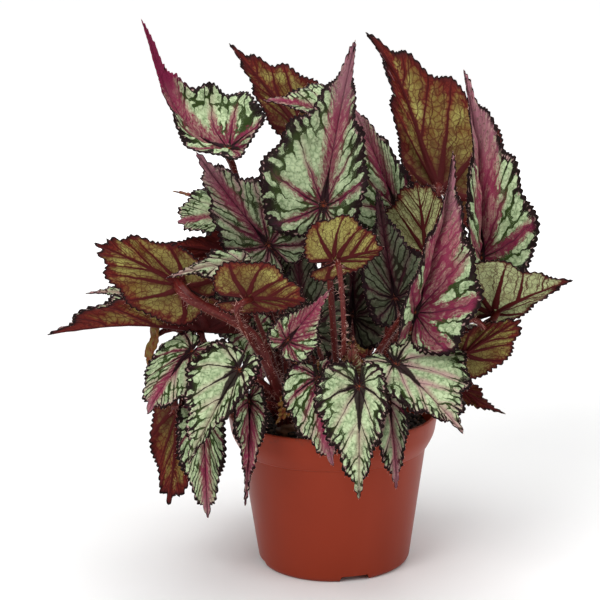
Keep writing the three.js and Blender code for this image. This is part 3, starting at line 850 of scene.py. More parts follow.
def reach(angle, leaf):
    """The blade's reach from the joint at an angle from the midrib, as a share of its length."""
    turn = angle / 180
    back = 1 + (leaf.lobe - 1) * max(0, turn * 2 - 1)
    body = (1 - leaf.point - NARROWING * turn) * math.sqrt(1 - turn ** 8) * back
    return leaf.point * math.exp(-angle / leaf.taper) + body


def lobe(angle, leaf):
    """The broad lobes of the margin: how far it stands out, as a share of the reach."""
    angles = SMALL_LOBE_ANGLES if leaf.small else LOBE_ANGLES
    after = next((k for k, limit in enumerate(angles) if limit >= angle), len(angles) - 1)
    if after == 0:
        return 0
    place = after - 1 + (angle - angles[after - 1]) / (angles[after] - angles[after - 1])
    return LOBE_DEPTH * math.cos(math.pi * place) * min(1, place)


class Midrib:
    """The midrib's curve, with the way that the upper side looks at any place along it."""

    def __init__(self, leaf):
        start, end = Vector(leaf.joint), Vector(leaf.tip)
        chord = end - start
        self.length = chord.length
        chord.normalize()
        face = Vector(leaf.facing)
        face = (face - chord * face.dot(chord)).normalized()
        self.side = chord.cross(face)

        def bent(lift, turn):
            lift, turn = math.radians(lift), math.radians(turn)
            way = chord * math.cos(lift) + face * math.sin(lift) + self.side * math.sin(turn)
            return way.normalized()

        hold = leaf.grip * self.length
        first = start + bent(leaf.rise, 0) * hold
        last = end - bent(-leaf.droop, leaf.sweep) * hold
        self.knots = (start, first, last, end)

    def frame(self, t):
        """The point, the way along, the way across and the way up at the share t of the midrib."""
        share = min(max(t, 0), 1)
        rest = 1 - share
        a, b, c, d = self.knots
        at = a * rest ** 3 + b * 3 * rest ** 2 * share + c * 3 * rest * share ** 2 + d * share ** 3
        along = (b - a) * rest ** 2 + (c - b) * 2 * rest * share + (d - c) * share ** 2
        along.normalize()
        across = (self.side - along * self.side.dot(along)).normalized()
        up = across.cross(along)
        return at + along * min(t, 0) * self.length, along, across, up


def stretch_of(leaf, side):
    """How far one half of the blade is stretched across the midrib."""
    return leaf.breadth * COMMON_BREADTH * (1 if side == leaf.wide else leaf.narrow)


def blade_point(leaf, rib, angle, side, out, ripple):
    """A point of the blade's middle surface and the way that its upper side looks there."""
    length_along = out * math.cos(math.radians(angle))
    across = out * math.sin(math.radians(angle)) * stretch_of(leaf, side) * rib.length
    at, _, sideways_way, up = rib.frame(length_along)
    fold = math.radians(leaf.fold)
    bend = math.radians(leaf.curl) / (CURL_REACH * rib.length)
    turned = fold + bend * across
    sideways = (math.sin(turned) - math.sin(fold)) / bend
    upward = (math.cos(fold) - math.cos(turned)) / bend + ripple
    look = turned if angle else 0
    normal = up * math.cos(look) - sideways_way * side * math.sin(look)
    return at + sideways_way * side * sideways + up * upward, normal


VEIN_START = 36  # degrees between the midrib and its side veins
VEIN_STEP = 44  # degrees between the veins that leave the joint behind the first side vein
VEIN_SPACING = 0.31  # between side veins along the midrib, as a share of its length
VEIN_BEND = 0.55  # how much they bend towards the tip
FINGERS = 3  # that the pale zone has between two side veins
REFERENCE_LENGTH = 80  # of the midrib of a blade whose pattern has its common size


def veins(x, y):
    """Which side vein passes a point of the flat blade (whole numbers lie on veins), how far along it the
    point is, and how far apart the veins are there. Lengths are shares of the midrib's."""
    start, step = math.radians(VEIN_START), math.radians(VEIN_STEP)
    x -= VEIN_BEND * y * y
    angle = math.atan2(y, x)
    if angle <= start:
        return (x - y / math.tan(start)) / VEIN_SPACING, y / math.sin(start), VEIN_SPACING * math.sin(start)
    away = math.hypot(x, y)
    return -(angle - start) / step, away, away * step


FINE_STEPS = 300  # that one half of the margin is measured in


def margin_spokes(leaf, count):
    """Angles from the midrib, evenly spaced along the margin and negative on one side, and its length."""
    limit = SMALL_LOBE_ANGLES[-1] if leaf.small else LOBE_ANGLES[-1]
    fine = [limit * (k / FINE_STEPS) ** 1.5 for k in range(FINE_STEPS + 1)]
    fine = [-angle for angle in fine[:0:-1]] + fine
    points = [flat_point(leaf, angle, 1) for angle in fine]
    run = [0]
    for one, other in zip(points, points[1:]):
        run.append(run[-1] + (other - one).length)
    spokes = []
    k = 0
    for step in range(count + 1):
        wanted = run[-1] * step / count
        while k < len(run) - 2 and run[k + 1] < wanted:
            k += 1
        share = (wanted - run[k]) / (run[k + 1] - run[k])
        spokes.append(fine[k] + (fine[k + 1] - fine[k]) * share)
    return spokes, run[-1]


def flat_point(leaf, angle, share):
    """A point of the blade laid flat, in shares of the midrib's length."""
    side = 1 if angle >= 0 else -1
    out = share * reach(abs(angle), leaf)
    turn = math.radians(abs(angle))
    return Vector((out * math.cos(turn), out * math.sin(turn) * stretch_of(leaf, side) * side, 0))


MARGIN_HAIR_STEP = 3  # spokes from one pair of margin hairs to the next
INSIDE_MARGIN = 0.93  # a place inside the margin, which shows the way out of the blade there
MARGIN_HAIR_WIDTH = 0.14
TUFT = 26  # hairs over a joint
TUFT_HAIR_WIDTH = 0.28


class Blade:
    """The fine form of one blade: a sheet of spokes from the joint and rings about it."""

    def __init__(self, leaf, settings):
        self.leaf = leaf
        self.rib = Midrib(leaf)
        self.number = LEAVES.index(leaf) + 1
        self.tooth = settings.tooth / MM
        self.pucker = settings.pucker / MM
        detail = DETAIL_BEHIND if self.number > LAST_IN_FRONT else 1
        self.columns = round((SPOKES + self.rib.length * SPOKES_EACH_MM) * detail)
        self.rows = round((RINGS + self.rib.length * RINGS_EACH_MM) * detail)
        self.spokes, perimeter = margin_spokes(leaf, self.columns)
        self.spacing = perimeter * self.rib.length / self.columns
        self.middle = min(range(len(self.spokes)), key=lambda k: abs(self.spokes[k]))
        self.spokes[self.middle] = 0
        # the pattern's sizes grow with the square root of the length
        self.unit = math.sqrt(REFERENCE_LENGTH * self.rib.length)
        self.edge = [flat_point(leaf, angle, 1) for angle in self.spokes]
        self.margin = self.margin_tree()

    def margin_tree(self):
        """The margin's points on the flat blade, to find how far away it is from any place."""
        count = len(self.spokes)
        tree = kdtree.KDTree(2 * count)
        for k, point in enumerate(self.edge):
            tree.insert(point, k)
        ends = (self.spokes[0], self.spokes[-1])
        for k in range(count):
            share = CLEFT_START + (1 - CLEFT_START) * k / count
            tree.insert(flat_point(self.leaf, ends[k % 2], share), k)
        tree.balance()
        return tree

    def surface(self, column, share):
        """A point of the finished surface with the way that it looks, and its place in the pattern."""
        leaf, rib = self.leaf, self.rib
        angle = self.spokes[column]
        side = 1 if angle >= 0 else -1
        turn = abs(angle)
        size = reach(turn, leaf)
        flat = flat_point(leaf, angle, share)
        x, y = size * share * math.cos(math.radians(turn)), size * share * math.sin(math.radians(turn))
        vein, along, apart = veins(x, y)
        away = self.margin.find(flat)[2]
        spread_flat = flat * (1 + lobe(turn, leaf) * share ** 2)
        spread_flat += self.outward(column) * (self.tooth_at(column) * share ** 10 / rib.length)
        sideways = max(0, spread_flat.y * side) / stretch_of(leaf, side)
        out = math.hypot(spread_flat.x, sideways)
        turned = math.degrees(math.atan2(sideways, spread_flat.x))
        ripple = leaf.wave * rib.length * share ** 2 * math.sin(math.radians(turn) * 7 + rib.length)
        at, normal = blade_point(leaf, rib, turned, side, out, ripple)
        relief = self.relief(flat, vein, along, apart, side)
        relief *= min(1, away / EVEN_MARGIN, flat.length / EVEN_JOINT)
        unrest = noise.noise(Vector((column * self.spacing * 0.15, self.number * 5.7, 4)))
        ruffle = RUFFLE * share ** 5 * unrest * min(1, abs(flat.y) * rib.length / EVEN_RIB)
        at = at + normal * (relief + ruffle)
        scale = rib.length / self.unit
        pattern = {
            "plan": Vector((flat.x * scale, flat.y * scale, away * scale)),
            "veins": Vector((vein, along * scale, apart * scale)),
        }
        return at, normal, pattern

    def outward(self, column):
        """The way out of the flat blade, at right angles to its margin."""
        before, after = self.edge[max(0, column - 1)], self.edge[min(len(self.edge) - 1, column + 1)]
        run = after - before
        way = Vector((run.y, -run.x, 0)).normalized()
        return way if way.dot(self.edge[column]) > 0 else -way

    def tooth_at(self, column):
        """How far the margin's rounded, uneven teeth stand out at a spoke."""
        place = column * self.spacing
        row = self.number * 3.1
        stretch = 0.45 * noise.noise(Vector((place * 0.11, row, 0)))
        depth = self.tooth * (1 + 0.9 * noise.noise(Vector((place * 0.31, row, 5))))
        knob = 0.3 * noise.noise(Vector((place * 0.9, row, 9)))
        tooth = abs(math.sin(math.pi * (place / TOOTH_SPACING + stretch)))
        from_tip = abs(column - self.middle) * self.spacing
        return depth * (tooth - TOOTH_LEVEL + knob) * min(1, from_tip / PLAIN_TIP)

    def relief(self, flat, vein, along, apart, side):
        """Puckers between the veins, small bumps and the sunk midrib, in millimetres."""
        scale = math.sqrt(self.rib.length / REFERENCE_LENGTH)
        ridge = 0.5 - 0.5 * math.cos(math.tau * vein)
        wide = min(1, apart / PUCKER_WIDTH)
        cross = 0.5 - 0.5 * math.cos(math.tau * (along / PUCKER_LENGTH + 0.35 * side + 0.3 * vein))
        bulge = ridge * (0.6 + 0.4 * cross) * wide * min(1, abs(flat.y) / RIB_BED)
        bumps = noise.noise(Vector((flat.x * 13, flat.y * 13, self.number * 2.3)))
        sunk = max(0, 1 - abs(flat.y) / RIB_GROOVE)
        return scale * (self.pucker * bulge + BUMPS * bumps - SUNK_RIB * sunk)

    def sheet(self):
        """The blade as a sheet one face thick, with the values that its materials read."""
        bm = unit_sheet(self.columns, self.rows)
        names = ("plan", "veins", "look", "tone", "under")
        layers = {name: bm.verts.layers.float_vector.new(name) for name in names}
        look = self.leaf.look
        fixed = {
            "look": Vector((look.flush, look.core, look.silver)),
            "tone": Vector((look.warm, look.painted_shade, self.number)),
            "under": Vector((look.red, look.dry, look.tail)),
        }
        for vertex in bm.verts:
            column = round(vertex.co.x * self.columns)
            share = vertex.co.y ** CROWDING
            at, _, pattern = self.surface(column, share)
            for name, value in {**fixed, **pattern}.items():
                vertex[layers[name]] = value
            vertex.co = at * MM
        bmesh.ops.remove_doubles(bm, verts=bm.verts, dist=0.002 * MM)
        return bm

    def margin_hairs(self, chance):
        """Feet, directions and lengths of the fine hairs along the margin."""
        spots = []
        for column in range(1, self.columns, MARGIN_HAIR_STEP):
            at, normal, _ = self.surface(column, 1)
            inner, _, _ = self.surface(column, INSIDE_MARGIN)
            way = (at - inner).normalized()
            for _ in range(2):
                tilt = normal * chance.uniform(-0.7, 0.7) + jitter(chance, 0.35)
                spots.append((at - way * 0.3, (way + tilt).normalized(), chance.uniform(0.5, 1.5)))
        return spots

    def joint_hairs(self, chance):
        """The tuft of longer hairs on the upper side over the joint."""
        at, along, across, up = self.rib.frame(0.01)
        spots = []
        for _ in range(TUFT):
            turn = chance.uniform(0, math.tau)
            flat = along * math.cos(turn) + across * math.sin(turn)
            way = (flat + up * chance.uniform(0.25, 0.9)).normalized()
            spots.append((at + flat * 0.4, way, chance.uniform(1.2, 3.2)))
        return spots


def jitter(chance, size):
    return Vector([chance.uniform(-size, size) for _ in range(3)])


# Leaf materials

class UpperSide:
    """Where a point of the upper side lies among the veins and the margin, on a blade of common length."""

    def __init__(self, paint, number):
        self.paint = paint
        self.x, y, margin = paint.attribute("plan")
        straight_vein, self.along, self.apart = paint.attribute("veins")
        self.at = paint.place()
        self.side = y.sign() + number * 3
        self.across = abs(y)
        self.away = (self.x * self.x + y * y).root()
        self.broad = paint.noise(self.at, 90, 2)
        self.fine = paint.noise(self.at, 420, 4, 0.6)
        self.wander = paint.noise(paint.vector(self.x, y, number), 11, 3)
        self.vein = straight_vein + self.wander * 0.2
        self.first = abs((self.vein + 0.5).fraction() - 0.5) * self.apart
        self.main = self.first.least(self.across)
        # where the blade is narrow, near its tip, the zones shrink with it
        self.inset = margin * (0.15 / (margin + self.across)).most(1)
        self.rim = self.inset - self.fine * 0.03 + self.wander * 0.05


class Fingers:
    """The fingers that the pale zone ends in between the veins, and the spots beyond them."""

    def __init__(self, on, silver):
        self.on = on
        self.silver = silver
        self.place = on.vein * FINGERS + on.wander
        self.number = self.place.floor()
        self.border = (self.place + 0.5).floor()
        self.inside = self.place - self.number - 0.5
        self.width = on.apart * (1 / FINGERS)
        self.gap = abs(self.place - self.border) * self.width
        self.edge = (1 - silver) * 0.14 + self.chance(self.number, 1) * 0.07 + 0.058

    def chance(self, part, draw):
        """A random number for each finger, border or dot on each side of each leaf."""
        return self.on.paint.chance(part, self.on.side, draw)

    def pale(self):
        """The pale zone, parted by clefts between its fingers and by dark lines along the veins."""
        on = self.on
        tip = self.edge + (0.5 - (0.25 - self.inside * self.inside).root()) * self.width
        depth = self.chance(self.border, 3) * (1.2 - self.silver) * 0.24
        cleft = (self.edge + depth + 0.02 - on.rim) * 0.16
        zone = on.rim.between(tip, tip + 0.007)
        zone *= (self.gap - cleft.least(0.013)).between(-0.001, 0.003)
        zone *= (on.first - ((self.edge + 0.1 - on.rim) * 0.1).least(0.015)).between(-0.001, 0.003)
        return zone

    def ovals(self):
        """An oval in the room that a short finger leaves, and a dark ring in the larger ones."""
        room = (self.edge - 0.018) * (self.chance(self.number, 4) * 0.12 + 0.36)
        aside = (self.inside - (self.chance(self.number, 5) - 0.5) * 0.3) * self.width
        outward = self.on.rim - self.edge * 0.5 - 0.005
        oval = (aside * aside * 1.9 + outward * outward).root()
        spot = oval.between(room, room - 0.005) * self.gap.between(0.004, 0.01)
        ring = abs(oval - room * 0.45).between(0.004, 0.001) * room.between(0.02, 0.03)
        return spot, ring

    def dots(self):
        """Small dots in an uneven row along the margin."""
        aside = abs((self.place * 3).fraction() - 0.5) * self.width * (1 / 3)
        number = self.chance((self.place * 3).floor(), 7)
        outward = self.on.rim - number * 0.012 - 0.014
        return (aside * aside + outward * outward).root().between(0.008, 0.004) * number.between(0.35, 0.5)


def flush_zone(on, flush, streaks):
    """The bright zone along the midrib and, near the joint, along the first side veins."""
    wide = flush * 0.05 + on.x.between(0.0, 0.6) * on.x.between(1.1, 0.7) * flush * 0.02
    middle = (on.across - wide - streaks * 0.13 * flush.least(1)).between(0.025, -0.03)
    wings = (on.first - flush * 0.026 - streaks * 0.14).between(0.01, -0.014)
    wings *= (on.away - flush * 0.09 + streaks * 0.3).between(0.3, 0.1)
    return middle.most(wings) * on.x.between(-0.05, 0.06).most(wings) * on.rim.between(0.01, 0.05)


def dark_star(on, core):
    """The dark star round the joint, with a ray of its own length along each vein."""
    ragged = on.fine * 0.012 + on.wander * 0.012
    star = (core * 0.045 - on.away * 0.15 - on.across + ragged * 1.6).between(-0.004, 0.005)
    share = on.paint.chance((on.vein + 0.5).floor(), on.side, 8)
    rays = (core * (0.008 + share * 0.013) - on.away * 0.07 - on.first + ragged).between(-0.004, 0.004)
    return star.most(rays)


def vein_lines(on):
    """Fine lines along the midrib and, as far as half way out, along the side veins."""
    side_veins = (0.003 - on.first).between(-0.0015, 0.001) * on.away.between(0.5, 0.2)
    return side_veins.most((0.0036 - on.across).between(-0.0015, 0.001) * 0.8)


def blade_upper(colours):
    """The upper side: a pale zone with fingers and spots inside a dark margin, a bright flush along the
    veins and a dark star round the joint."""
    def look(paint):
        flush, core, silver = paint.attribute("look")
        warm, painted_shade, number = paint.attribute("tone")
        _, dry, tail = paint.attribute("under")
        on = UpperSide(paint, number)
        fingers = Fingers(on, silver)
        spot, ring = fingers.ovals()
        light = fingers.pale().most(spot)
        pits = paint.cells(on.at, 560, randomness=0.9).between(0.28, 0.12)
        net = paint.cells(on.at, 300, "DISTANCE_TO_EDGE").between(0.0, 0.22)
        streaks = paint.noise(paint.vector(on.vein * 5, on.along * 9, on.side), 3, 5, 0.7)

        ground = paint.mix(on.rim.between(0.04, 0.11) + on.fine * 1.2, colours.margin, colours.green)
        silvery = paint.cover(
            colours.silver,
            (on.fine * 2.4 + on.broad * 1.2 + 0.68 - net * 0.5, colours.shadow_silver),
            (warm * (on.broad * 2 + on.main.between(0.06, 0.0) * 1.2 - 0.1), colours.rose),
        )
        pinks = paint.cover(
            colours.flush,
            (streaks * 2.6 + 0.4 + on.away.between(0.5, 0.1) * 0.6, colours.wine),
            (on.x.between(0.45, 0.8) * 0.85, colours.tip),
        )
        brown = paint.mix(on.fine * 3 + on.broad + 0.5, colours.olive, colours.rust)
        glow = flush_zone(on, flush, streaks) * (streaks * 1.4 + 0.85) * flush.between(0.0, 0.6)
        ends = on.x.between(0.6, 0.9) * flush.between(0.3, 0.9) * on.rim.between(0.01, 0.04)
        shade = paint.cover(
            ground,
            (light, silvery),
            (fingers.dots() * 0.8, colours.rose),
            (glow, pinks),
            (ends * (0.7 - streaks), colours.tip),
            (vein_lines(on) * 0.75, colours.vein),
            (dark_star(on, core) * 0.95, colours.core),
            ((pits * light * 0.5).most(ring * 0.6), colours.green),
            (on.inset.between(0.02, 0.008), colours.margin),
            (on.away.between(0.014, 0.004) * 0.6, colours.joint),
            # painted shade: the whole blade is darkened towards the core colour
            (painted_shade * 0.6, colours.core),
            (dry.most(tail * on.x.between(0.5, 0.65)), paint.mix(tail, brown, colours.wine)),
        )
        relief = light * 0.25 + on.fine * 0.6 - on.main.between(0.008, 0.0) - pits * 0.35
        relief += fingers.gap.between(0.0, 0.012) * 0.3
        return shade, on.fine * 0.2 - light * 0.04 + 0.55, relief
    return finish("leaf_upper", look, bump=0.55, depth=0.5 * MM, Specular_IOR_Level=0.07)


def blade_underside(colours):
    """The underside: lime and olive between red veins, with a net of finer veins and a red rim."""
    def look(paint):
        x, y, margin = paint.attribute("plan")
        vein, _, apart = paint.attribute("veins")
        red, dry, _ = paint.attribute("under")
        _, _, number = paint.attribute("tone")
        at = paint.place()
        away = (x * x + y * y).root()
        broad = paint.noise(at, 70, 2)
        fine = paint.noise(at, 520, 3, 0.6)
        wander = paint.noise(paint.vector(x, y, number), 11, 3)
        vein += wander * 0.16
        first = abs((vein + 0.5).fraction() - 0.5) * apart
        second = abs((vein * 2 + wander).fraction() - 0.5) * apart * 0.5
        main = first.least(abs(y))
        flat = paint.vector(x + fine * 0.02, y + fine * 0.02, 0)
        net = paint.cells(flat, 22, "DISTANCE_TO_EDGE")
        fine_net = paint.cells(flat, 46, "DISTANCE_TO_EDGE")
        swell = away.between(0.6, 0.0) * 0.02 + 0.005
        strong = (swell - main + fine * 0.006).between(-0.005, 0.002)
        lines = second.between(0.009, 0.002) * away.between(0.12, 0.3) * 0.9
        lines = lines.most(net.between(0.09, 0.02) * 0.65).most(fine_net.between(0.12, 0.02) * 0.35)
        blush = main.between(0.05, 0.0) * 0.8 + (margin + wander * 0.15).between(0.12, 0.01) * 0.9
        blush = blush + net.between(0.2, 0.05) * 0.3 + (red - 0.4) * 1.2 + broad * 1.4
        shade = paint.cover(
            colours.lime,
            (red.between(0.0, -0.6) * 0.8, colours.silver),
            (broad * 2.6 + red * 0.9 + 0.3, colours.olive),
            (blush * (fine + 1.0), colours.rust),
            ((away + wander * 0.4).between(0.5, 0.08) * (red * 1.2 + 0.35), colours.claret),
            (dry * 0.85, paint.mix(fine * 3 + broad + 0.5, colours.olive, colours.rust)),
            (strong.most(lines), colours.red_vein),
            (margin.between(0.035, 0.014), colours.red_rim),
            (margin.between(0.016, 0.004), colours.margin),
        )
        relief = strong + lines * 0.5 + fine * 0.3
        return shade, fine * 0.15 + 0.58, relief
    return finish("leaf_underside", look, bump=0.6, depth=0.5 * MM, Specular_IOR_Level=0.09)


def hair_finish(name, scale, one, other, roughness, **values):
    """Hairs that vary from one colour to another."""
    def look(paint):
        tone = paint.noise(paint.place(), scale, 2)
        return paint.mix(tone * 2 + 0.5, one, other), tone * 0.2 + roughness, tone
    return finish(name, look, bump=0.1, **values)


def hair_material(settings):
    """The stiff pale hairs of the stalks and the margins."""
    pale = [min(1, c * 1.7) for c in settings.hair_colour]
    return hair_finish("plant_hair", 300, settings.hair_colour, pale, 0.5, Sheen_Weight=0.3)


def joint_material(colours):
    """The rusty tuft over a joint."""
    return hair_finish("joint_hair", 500, colours.joint, colours.red_vein, 0.55)


class BEGONIA_OT_blades(bpy.types.Operator):
    """Makes each leaf's blade, with its teeth, puckers and veins"""
    bl_idname = "begonia.blades"
    bl_label = "Leaf Blades"

    def execute(self, context):
        settings = context.scene.begonia_blades
        materials = [blade_upper(settings), blade_underside(settings)]
        for leaf in LEAVES:
            name = leaf_name(leaf)
            piece = new_piece(f"{name}_blade", Blade(leaf, settings).sheet(), materials, "leaf_blade", name)
            wall = piece.modifiers.new("Thickness", "SOLIDIFY")
            wall.thickness = settings.thickness
            wall.offset = 0
            wall.material_offset = 1
        return {"FINISHED"}


class BEGONIA_OT_blade_hairs(bpy.types.Operator):
    """Makes the hairs along the leaves' margins and over their joints"""
    bl_idname = "begonia.blade_hairs"
    bl_label = "Blade Hairs"

    def execute(self, context):
        chance = random.Random(11)
        material = bpy.data.materials.get("plant_hair") or hair_material(context.scene.begonia_stalks)
        margin, tufts = bmesh.new(), bmesh.new()
        for leaf in LEAVES:
            blade = Blade(leaf, context.scene.begonia_blades)
            append(margin, hairs(blade.margin_hairs(chance), MARGIN_HAIR_WIDTH))
            append(tufts, hairs(blade.joint_hairs(chance), TUFT_HAIR_WIDTH))
        new_piece("margin_hairs", margin, [material], "leaf_blade")
        new_piece("joint_hairs", tufts, [joint_material(context.scene.begonia_blades)], "leaf_stalk")
        return {"FINISHED"}


# Shoots and stalks

STUB_RADIUS = 7.5
STUB_STRETCH = 1.45  # how much longer than wide a shoot's foot is
STUB_SUNK = 13  # how far it reaches down from the soil's mean height
STUB_PROUD = 9  # and how far up
STUB_STEPS = 32
ROOT_SPREAD = 1.35  # how much thicker a stalk is at its root
STALK_MEETS = 0.035  # where it meets the midrib, as a share of the midrib's length
STALK_RING = 3.2  # between its rings
ROOT_OUT = 7  # how much further from the shoot's middle a nearly level stalk starts
LEAN_OUT = 8  # and how much further out it leans in its first stretch
FIRST_RISE = 14  # height of that stretch
LAST_STRETCH = 9  # the length that runs straight to the blade
STALK_HAIR_WIDTH = 0.22


def curve_points(points, spacing):
    """Points along a smooth curve through the given ones, about the spacing apart."""
    ends = [points[0] * 2 - points[1], *points, points[-1] * 2 - points[-2]]
    made = []
    for a, b, c, d in zip(ends, ends[1:], ends[2:], ends[3:]):
        before, during, after = (math.sqrt((v - u).length) for u, v in ((a, b), (b, c), (c, d)))
        leave = (b - a) / before - (c - a) / (before + during) + (c - b) / during
        reach_in = (c - b) / during - (d - b) / (during + after) + (d - c) / after
        count = max(3, round((c - b).length / spacing))
        first, last = b + leave * during / 3, c - reach_in * during / 3
        made += geometry.interpolate_bezier(b, first, last, c, count)[:-1]
    return made + [points[-1]]


class Stalk:
    """One leaf's stalk, from its shoot to the underside of its blade."""

    def __init__(self, leaf):
        (x, y), _ = SHOOTS[leaf.shoot]
        at, along, _, up = Midrib(leaf).frame(STALK_MEETS)
        solid_end = at - up * (BLADE_THICKNESS / 2 + GAP)
        outward = Vector((solid_end.x - x, solid_end.y - y, 0)).normalized()
        run = solid_end - Vector((x, y, SOIL_TOP))
        flat = 1 - run.z / run.length
        root = Vector((x, y, SOIL_TOP + 2)) + outward * (1 + ROOT_OUT * flat)
        rise = root + outward * (1 + LEAN_OUT * flat) + Vector((0, 0, FIRST_RISE))
        arrive = (along * leaf.arrive + up).normalized()
        near = solid_end - arrive * LAST_STRETCH
        via = [Vector(point) for point in leaf.via]
        self.up = up
        self.radius = leaf.stalk * (0.75 if leaf.small else 1)
        self.points = curve_points([root, rise, *via, near, at - up * 0.25], STALK_RING)
        self.rings = self.make_rings()

    def make_rings(self):
        """The middle, radius and three directions of each ring."""
        rings = []
        normal = Vector((0, 0, 1)).orthogonal()
        count = len(self.points) - 1
        for k, middle in enumerate(self.points):
            tangent = (self.points[min(k + 1, count)] - self.points[max(k - 1, 0)]).normalized()
            normal = (normal - tangent * normal.dot(tangent)).normalized()
            share = k / count
            radius = self.radius * (ROOT_SPREAD + (1 - ROOT_SPREAD) * min(1, share * 1.6))
            radius *= 1 + 0.3 * max(0, share * 8 - 7) + 0.05 * math.sin(k * 1.7 + self.points[0].x)
            rings.append((middle, radius, tangent, normal, tangent.cross(normal)))
        return rings

    def skin(self, ring, turn):
        """A point of the stalk's skin and the way that it looks."""
        middle, radius, _, one, other = self.rings[ring]
        way = one * math.cos(turn) + other * math.sin(turn)
        ridged = radius * (1 + 0.06 * math.cos(3 * turn + 0.1 * ring) + 0.03 * math.cos(7 * turn))
        return middle + way * ridged, way

    def tube(self, sides):
        """The closed stalk, with its upper end cut off flat under the blade."""
        last = len(self.rings) - 1
        bm = unit_sheet(sides, last)
        layer = bm.verts.layers.float_vector.new("stalk")
        middle, _, tangent, _, _ = self.rings[last]
        for vertex in bm.verts:
            turn = math.tau * vertex.co.x
            ring = round(vertex.co.y * last)
            at, _ = self.skin(ring, turn)
            if ring == last:
                at -= tangent * (at - middle).dot(self.up) / tangent.dot(self.up)
            vertex[layer] = Vector((math.cos(turn), math.sin(turn), ring * 0.32))
            vertex.co = at * MM
        bmesh.ops.remove_doubles(bm, verts=bm.verts, dist=0.01 * MM)
        bmesh.ops.holes_fill(bm, edges=[edge for edge in bm.edges if edge.is_boundary])
        bmesh.ops.recalc_face_normals(bm, faces=bm.faces)
        return bm

    def hairs(self, chance, gap, size):
        """Feet, directions and lengths of the stalk's hairs."""
        spots = []
        total = sum((b - a).length for a, b in zip(self.points, self.points[1:]))
        for _ in range(round(total / gap)):
            ring = chance.randrange(2, len(self.rings) - 1)
            foot, way = self.skin(ring, chance.uniform(0, math.tau))
            tangent = self.rings[ring][2]
            foot = foot + tangent * chance.uniform(-1.6, 1.6) - way * 0.15
            way = (way + tangent * chance.uniform(-0.25, 0.6) + jitter(chance, 0.25)).normalized()
            spots.append((foot, way, size * chance.uniform(0.5, 1.25)))
        return spots


def stub(shoot):
    """The shoot's foot: a short, uneven piece of rhizome."""
    (x, y), turn = SHOOTS[shoot]
    low, high = SOIL_TOP - STUB_SUNK, SOIL_TOP + STUB_PROUD
    profile = rounded([
        (0, low, 0),
        (STUB_RADIUS * 0.8, low, 1),
        (STUB_RADIUS, low + 3, 1.5),
        (STUB_RADIUS, high - 6, 2),
        (STUB_RADIUS * 0.7, high - 2, 1.5),
        (0, high, 0),
    ], 4)
    dense = [point for a, b in zip(profile, profile[1:]) for point in spread(a, b, 1.2)] + [profile[-1]]
    bm = lathe(dense, STUB_STEPS)
    layer = bm.verts.layers.float_vector.new("stalk")
    bmesh.ops.scale(bm, vec=(STUB_STRETCH, 1, 1), verts=bm.verts)
    bmesh.ops.rotate(bm, verts=bm.verts, matrix=Matrix.Rotation(math.radians(turn), 3, "Z"))
    for vertex in bm.verts:
        at = vertex.co / MM
        swell = 0.06 * math.sin(at.z * 1.6 + at.x * 0.3) + 0.16 * noise.noise(at * 0.22)
        vertex.co.x *= 1 + swell
        vertex.co.y *= 1 + swell
        vertex[layer] = Vector((at.x * 0.1, at.y * 0.1, -3))
    bmesh.ops.translate(bm, vec=Vector((x, y, 0)) * MM, verts=bm.verts)
    return bm


def stalk_skin(settings):
    """Red, softly ribbed skin with pale flecks. The feet of the shoots are brown."""
    def look(paint):
        one, other, along = paint.attribute("stalk")
        at = paint.place()
        streaks = paint.noise(paint.vector(one * 2.5, other * 2.5, along * 0.5), 1.5, 4, 0.6)
        fine = paint.noise(at, 900, 3)
        flecks = paint.cells(at, 520).between(0.2, 0.1) * paint.cell_number(at, 520).between(0.5, 0.7)
        skin = paint.cover(
            settings.skin,
            (streaks * 2.2 + 0.45, settings.deep),
            (fine * 0.5 + flecks * 0.5, settings.pale),
            (along.between(0.5, -1.0), settings.rhizome),
        )
        return skin, fine * 0.2 + 0.42, streaks * 0.8 + fine * 0.3 + flecks * 0.4
    return finish("stalk_skin", look, bump=0.35, depth=0.6 * MM, Specular_IOR_Level=0.2)


class BEGONIA_OT_shoots(bpy.types.Operator):
    """Makes the shoots with their leaf stalks and the stalks' hairs"""
    bl_idname = "begonia.shoots"
    bl_label = "Shoots and Stalks"

    def execute(self, context):
        settings = context.scene.begonia_stalks
        chance = random.Random(3)
        skin, hair = stalk_skin(settings), hair_material(settings)
        for shoot in SHOOTS:
            bm = stub(shoot)
            fuzz = bmesh.new()
            for leaf in LEAVES:
                if leaf.shoot == shoot:
                    stalk = Stalk(leaf)
                    append(bm, stalk.tube(settings.sides))
                    spots = stalk.hairs(chance, settings.hair_gap / MM, settings.hair / MM)
                    append(fuzz, hairs(spots, STALK_HAIR_WIDTH))
            new_piece(f"shoot_{shoot}_stalks", bm, [skin], "leaf_stalk", f"shoot_{shoot}")
            new_piece(f"shoot_{shoot}_hairs", fuzz, [hair], "leaf_stalk")
        return {"FINISHED"}


# The stage

FLOOR_RADIUS = 30
PLANT_MIDDLE = Vector((0, 0, 0.17))
# where each light stands and how wide it is
SOFTBOXES = {
    "key": ((-0.75, -1.15, 1.15), 0.9),
    "fill": ((1.2, -0.7, 0.75), 1.1),
    "rim": ((0.5, 1.2, 1.2), 0.9),
    "top": ((0, 0, 1.7), 1.4),
}
RIM_SHARE = 0.8  # power of the light behind the plant, as a share of the fill light's
VIEW_END = 100  # how far the camera sees


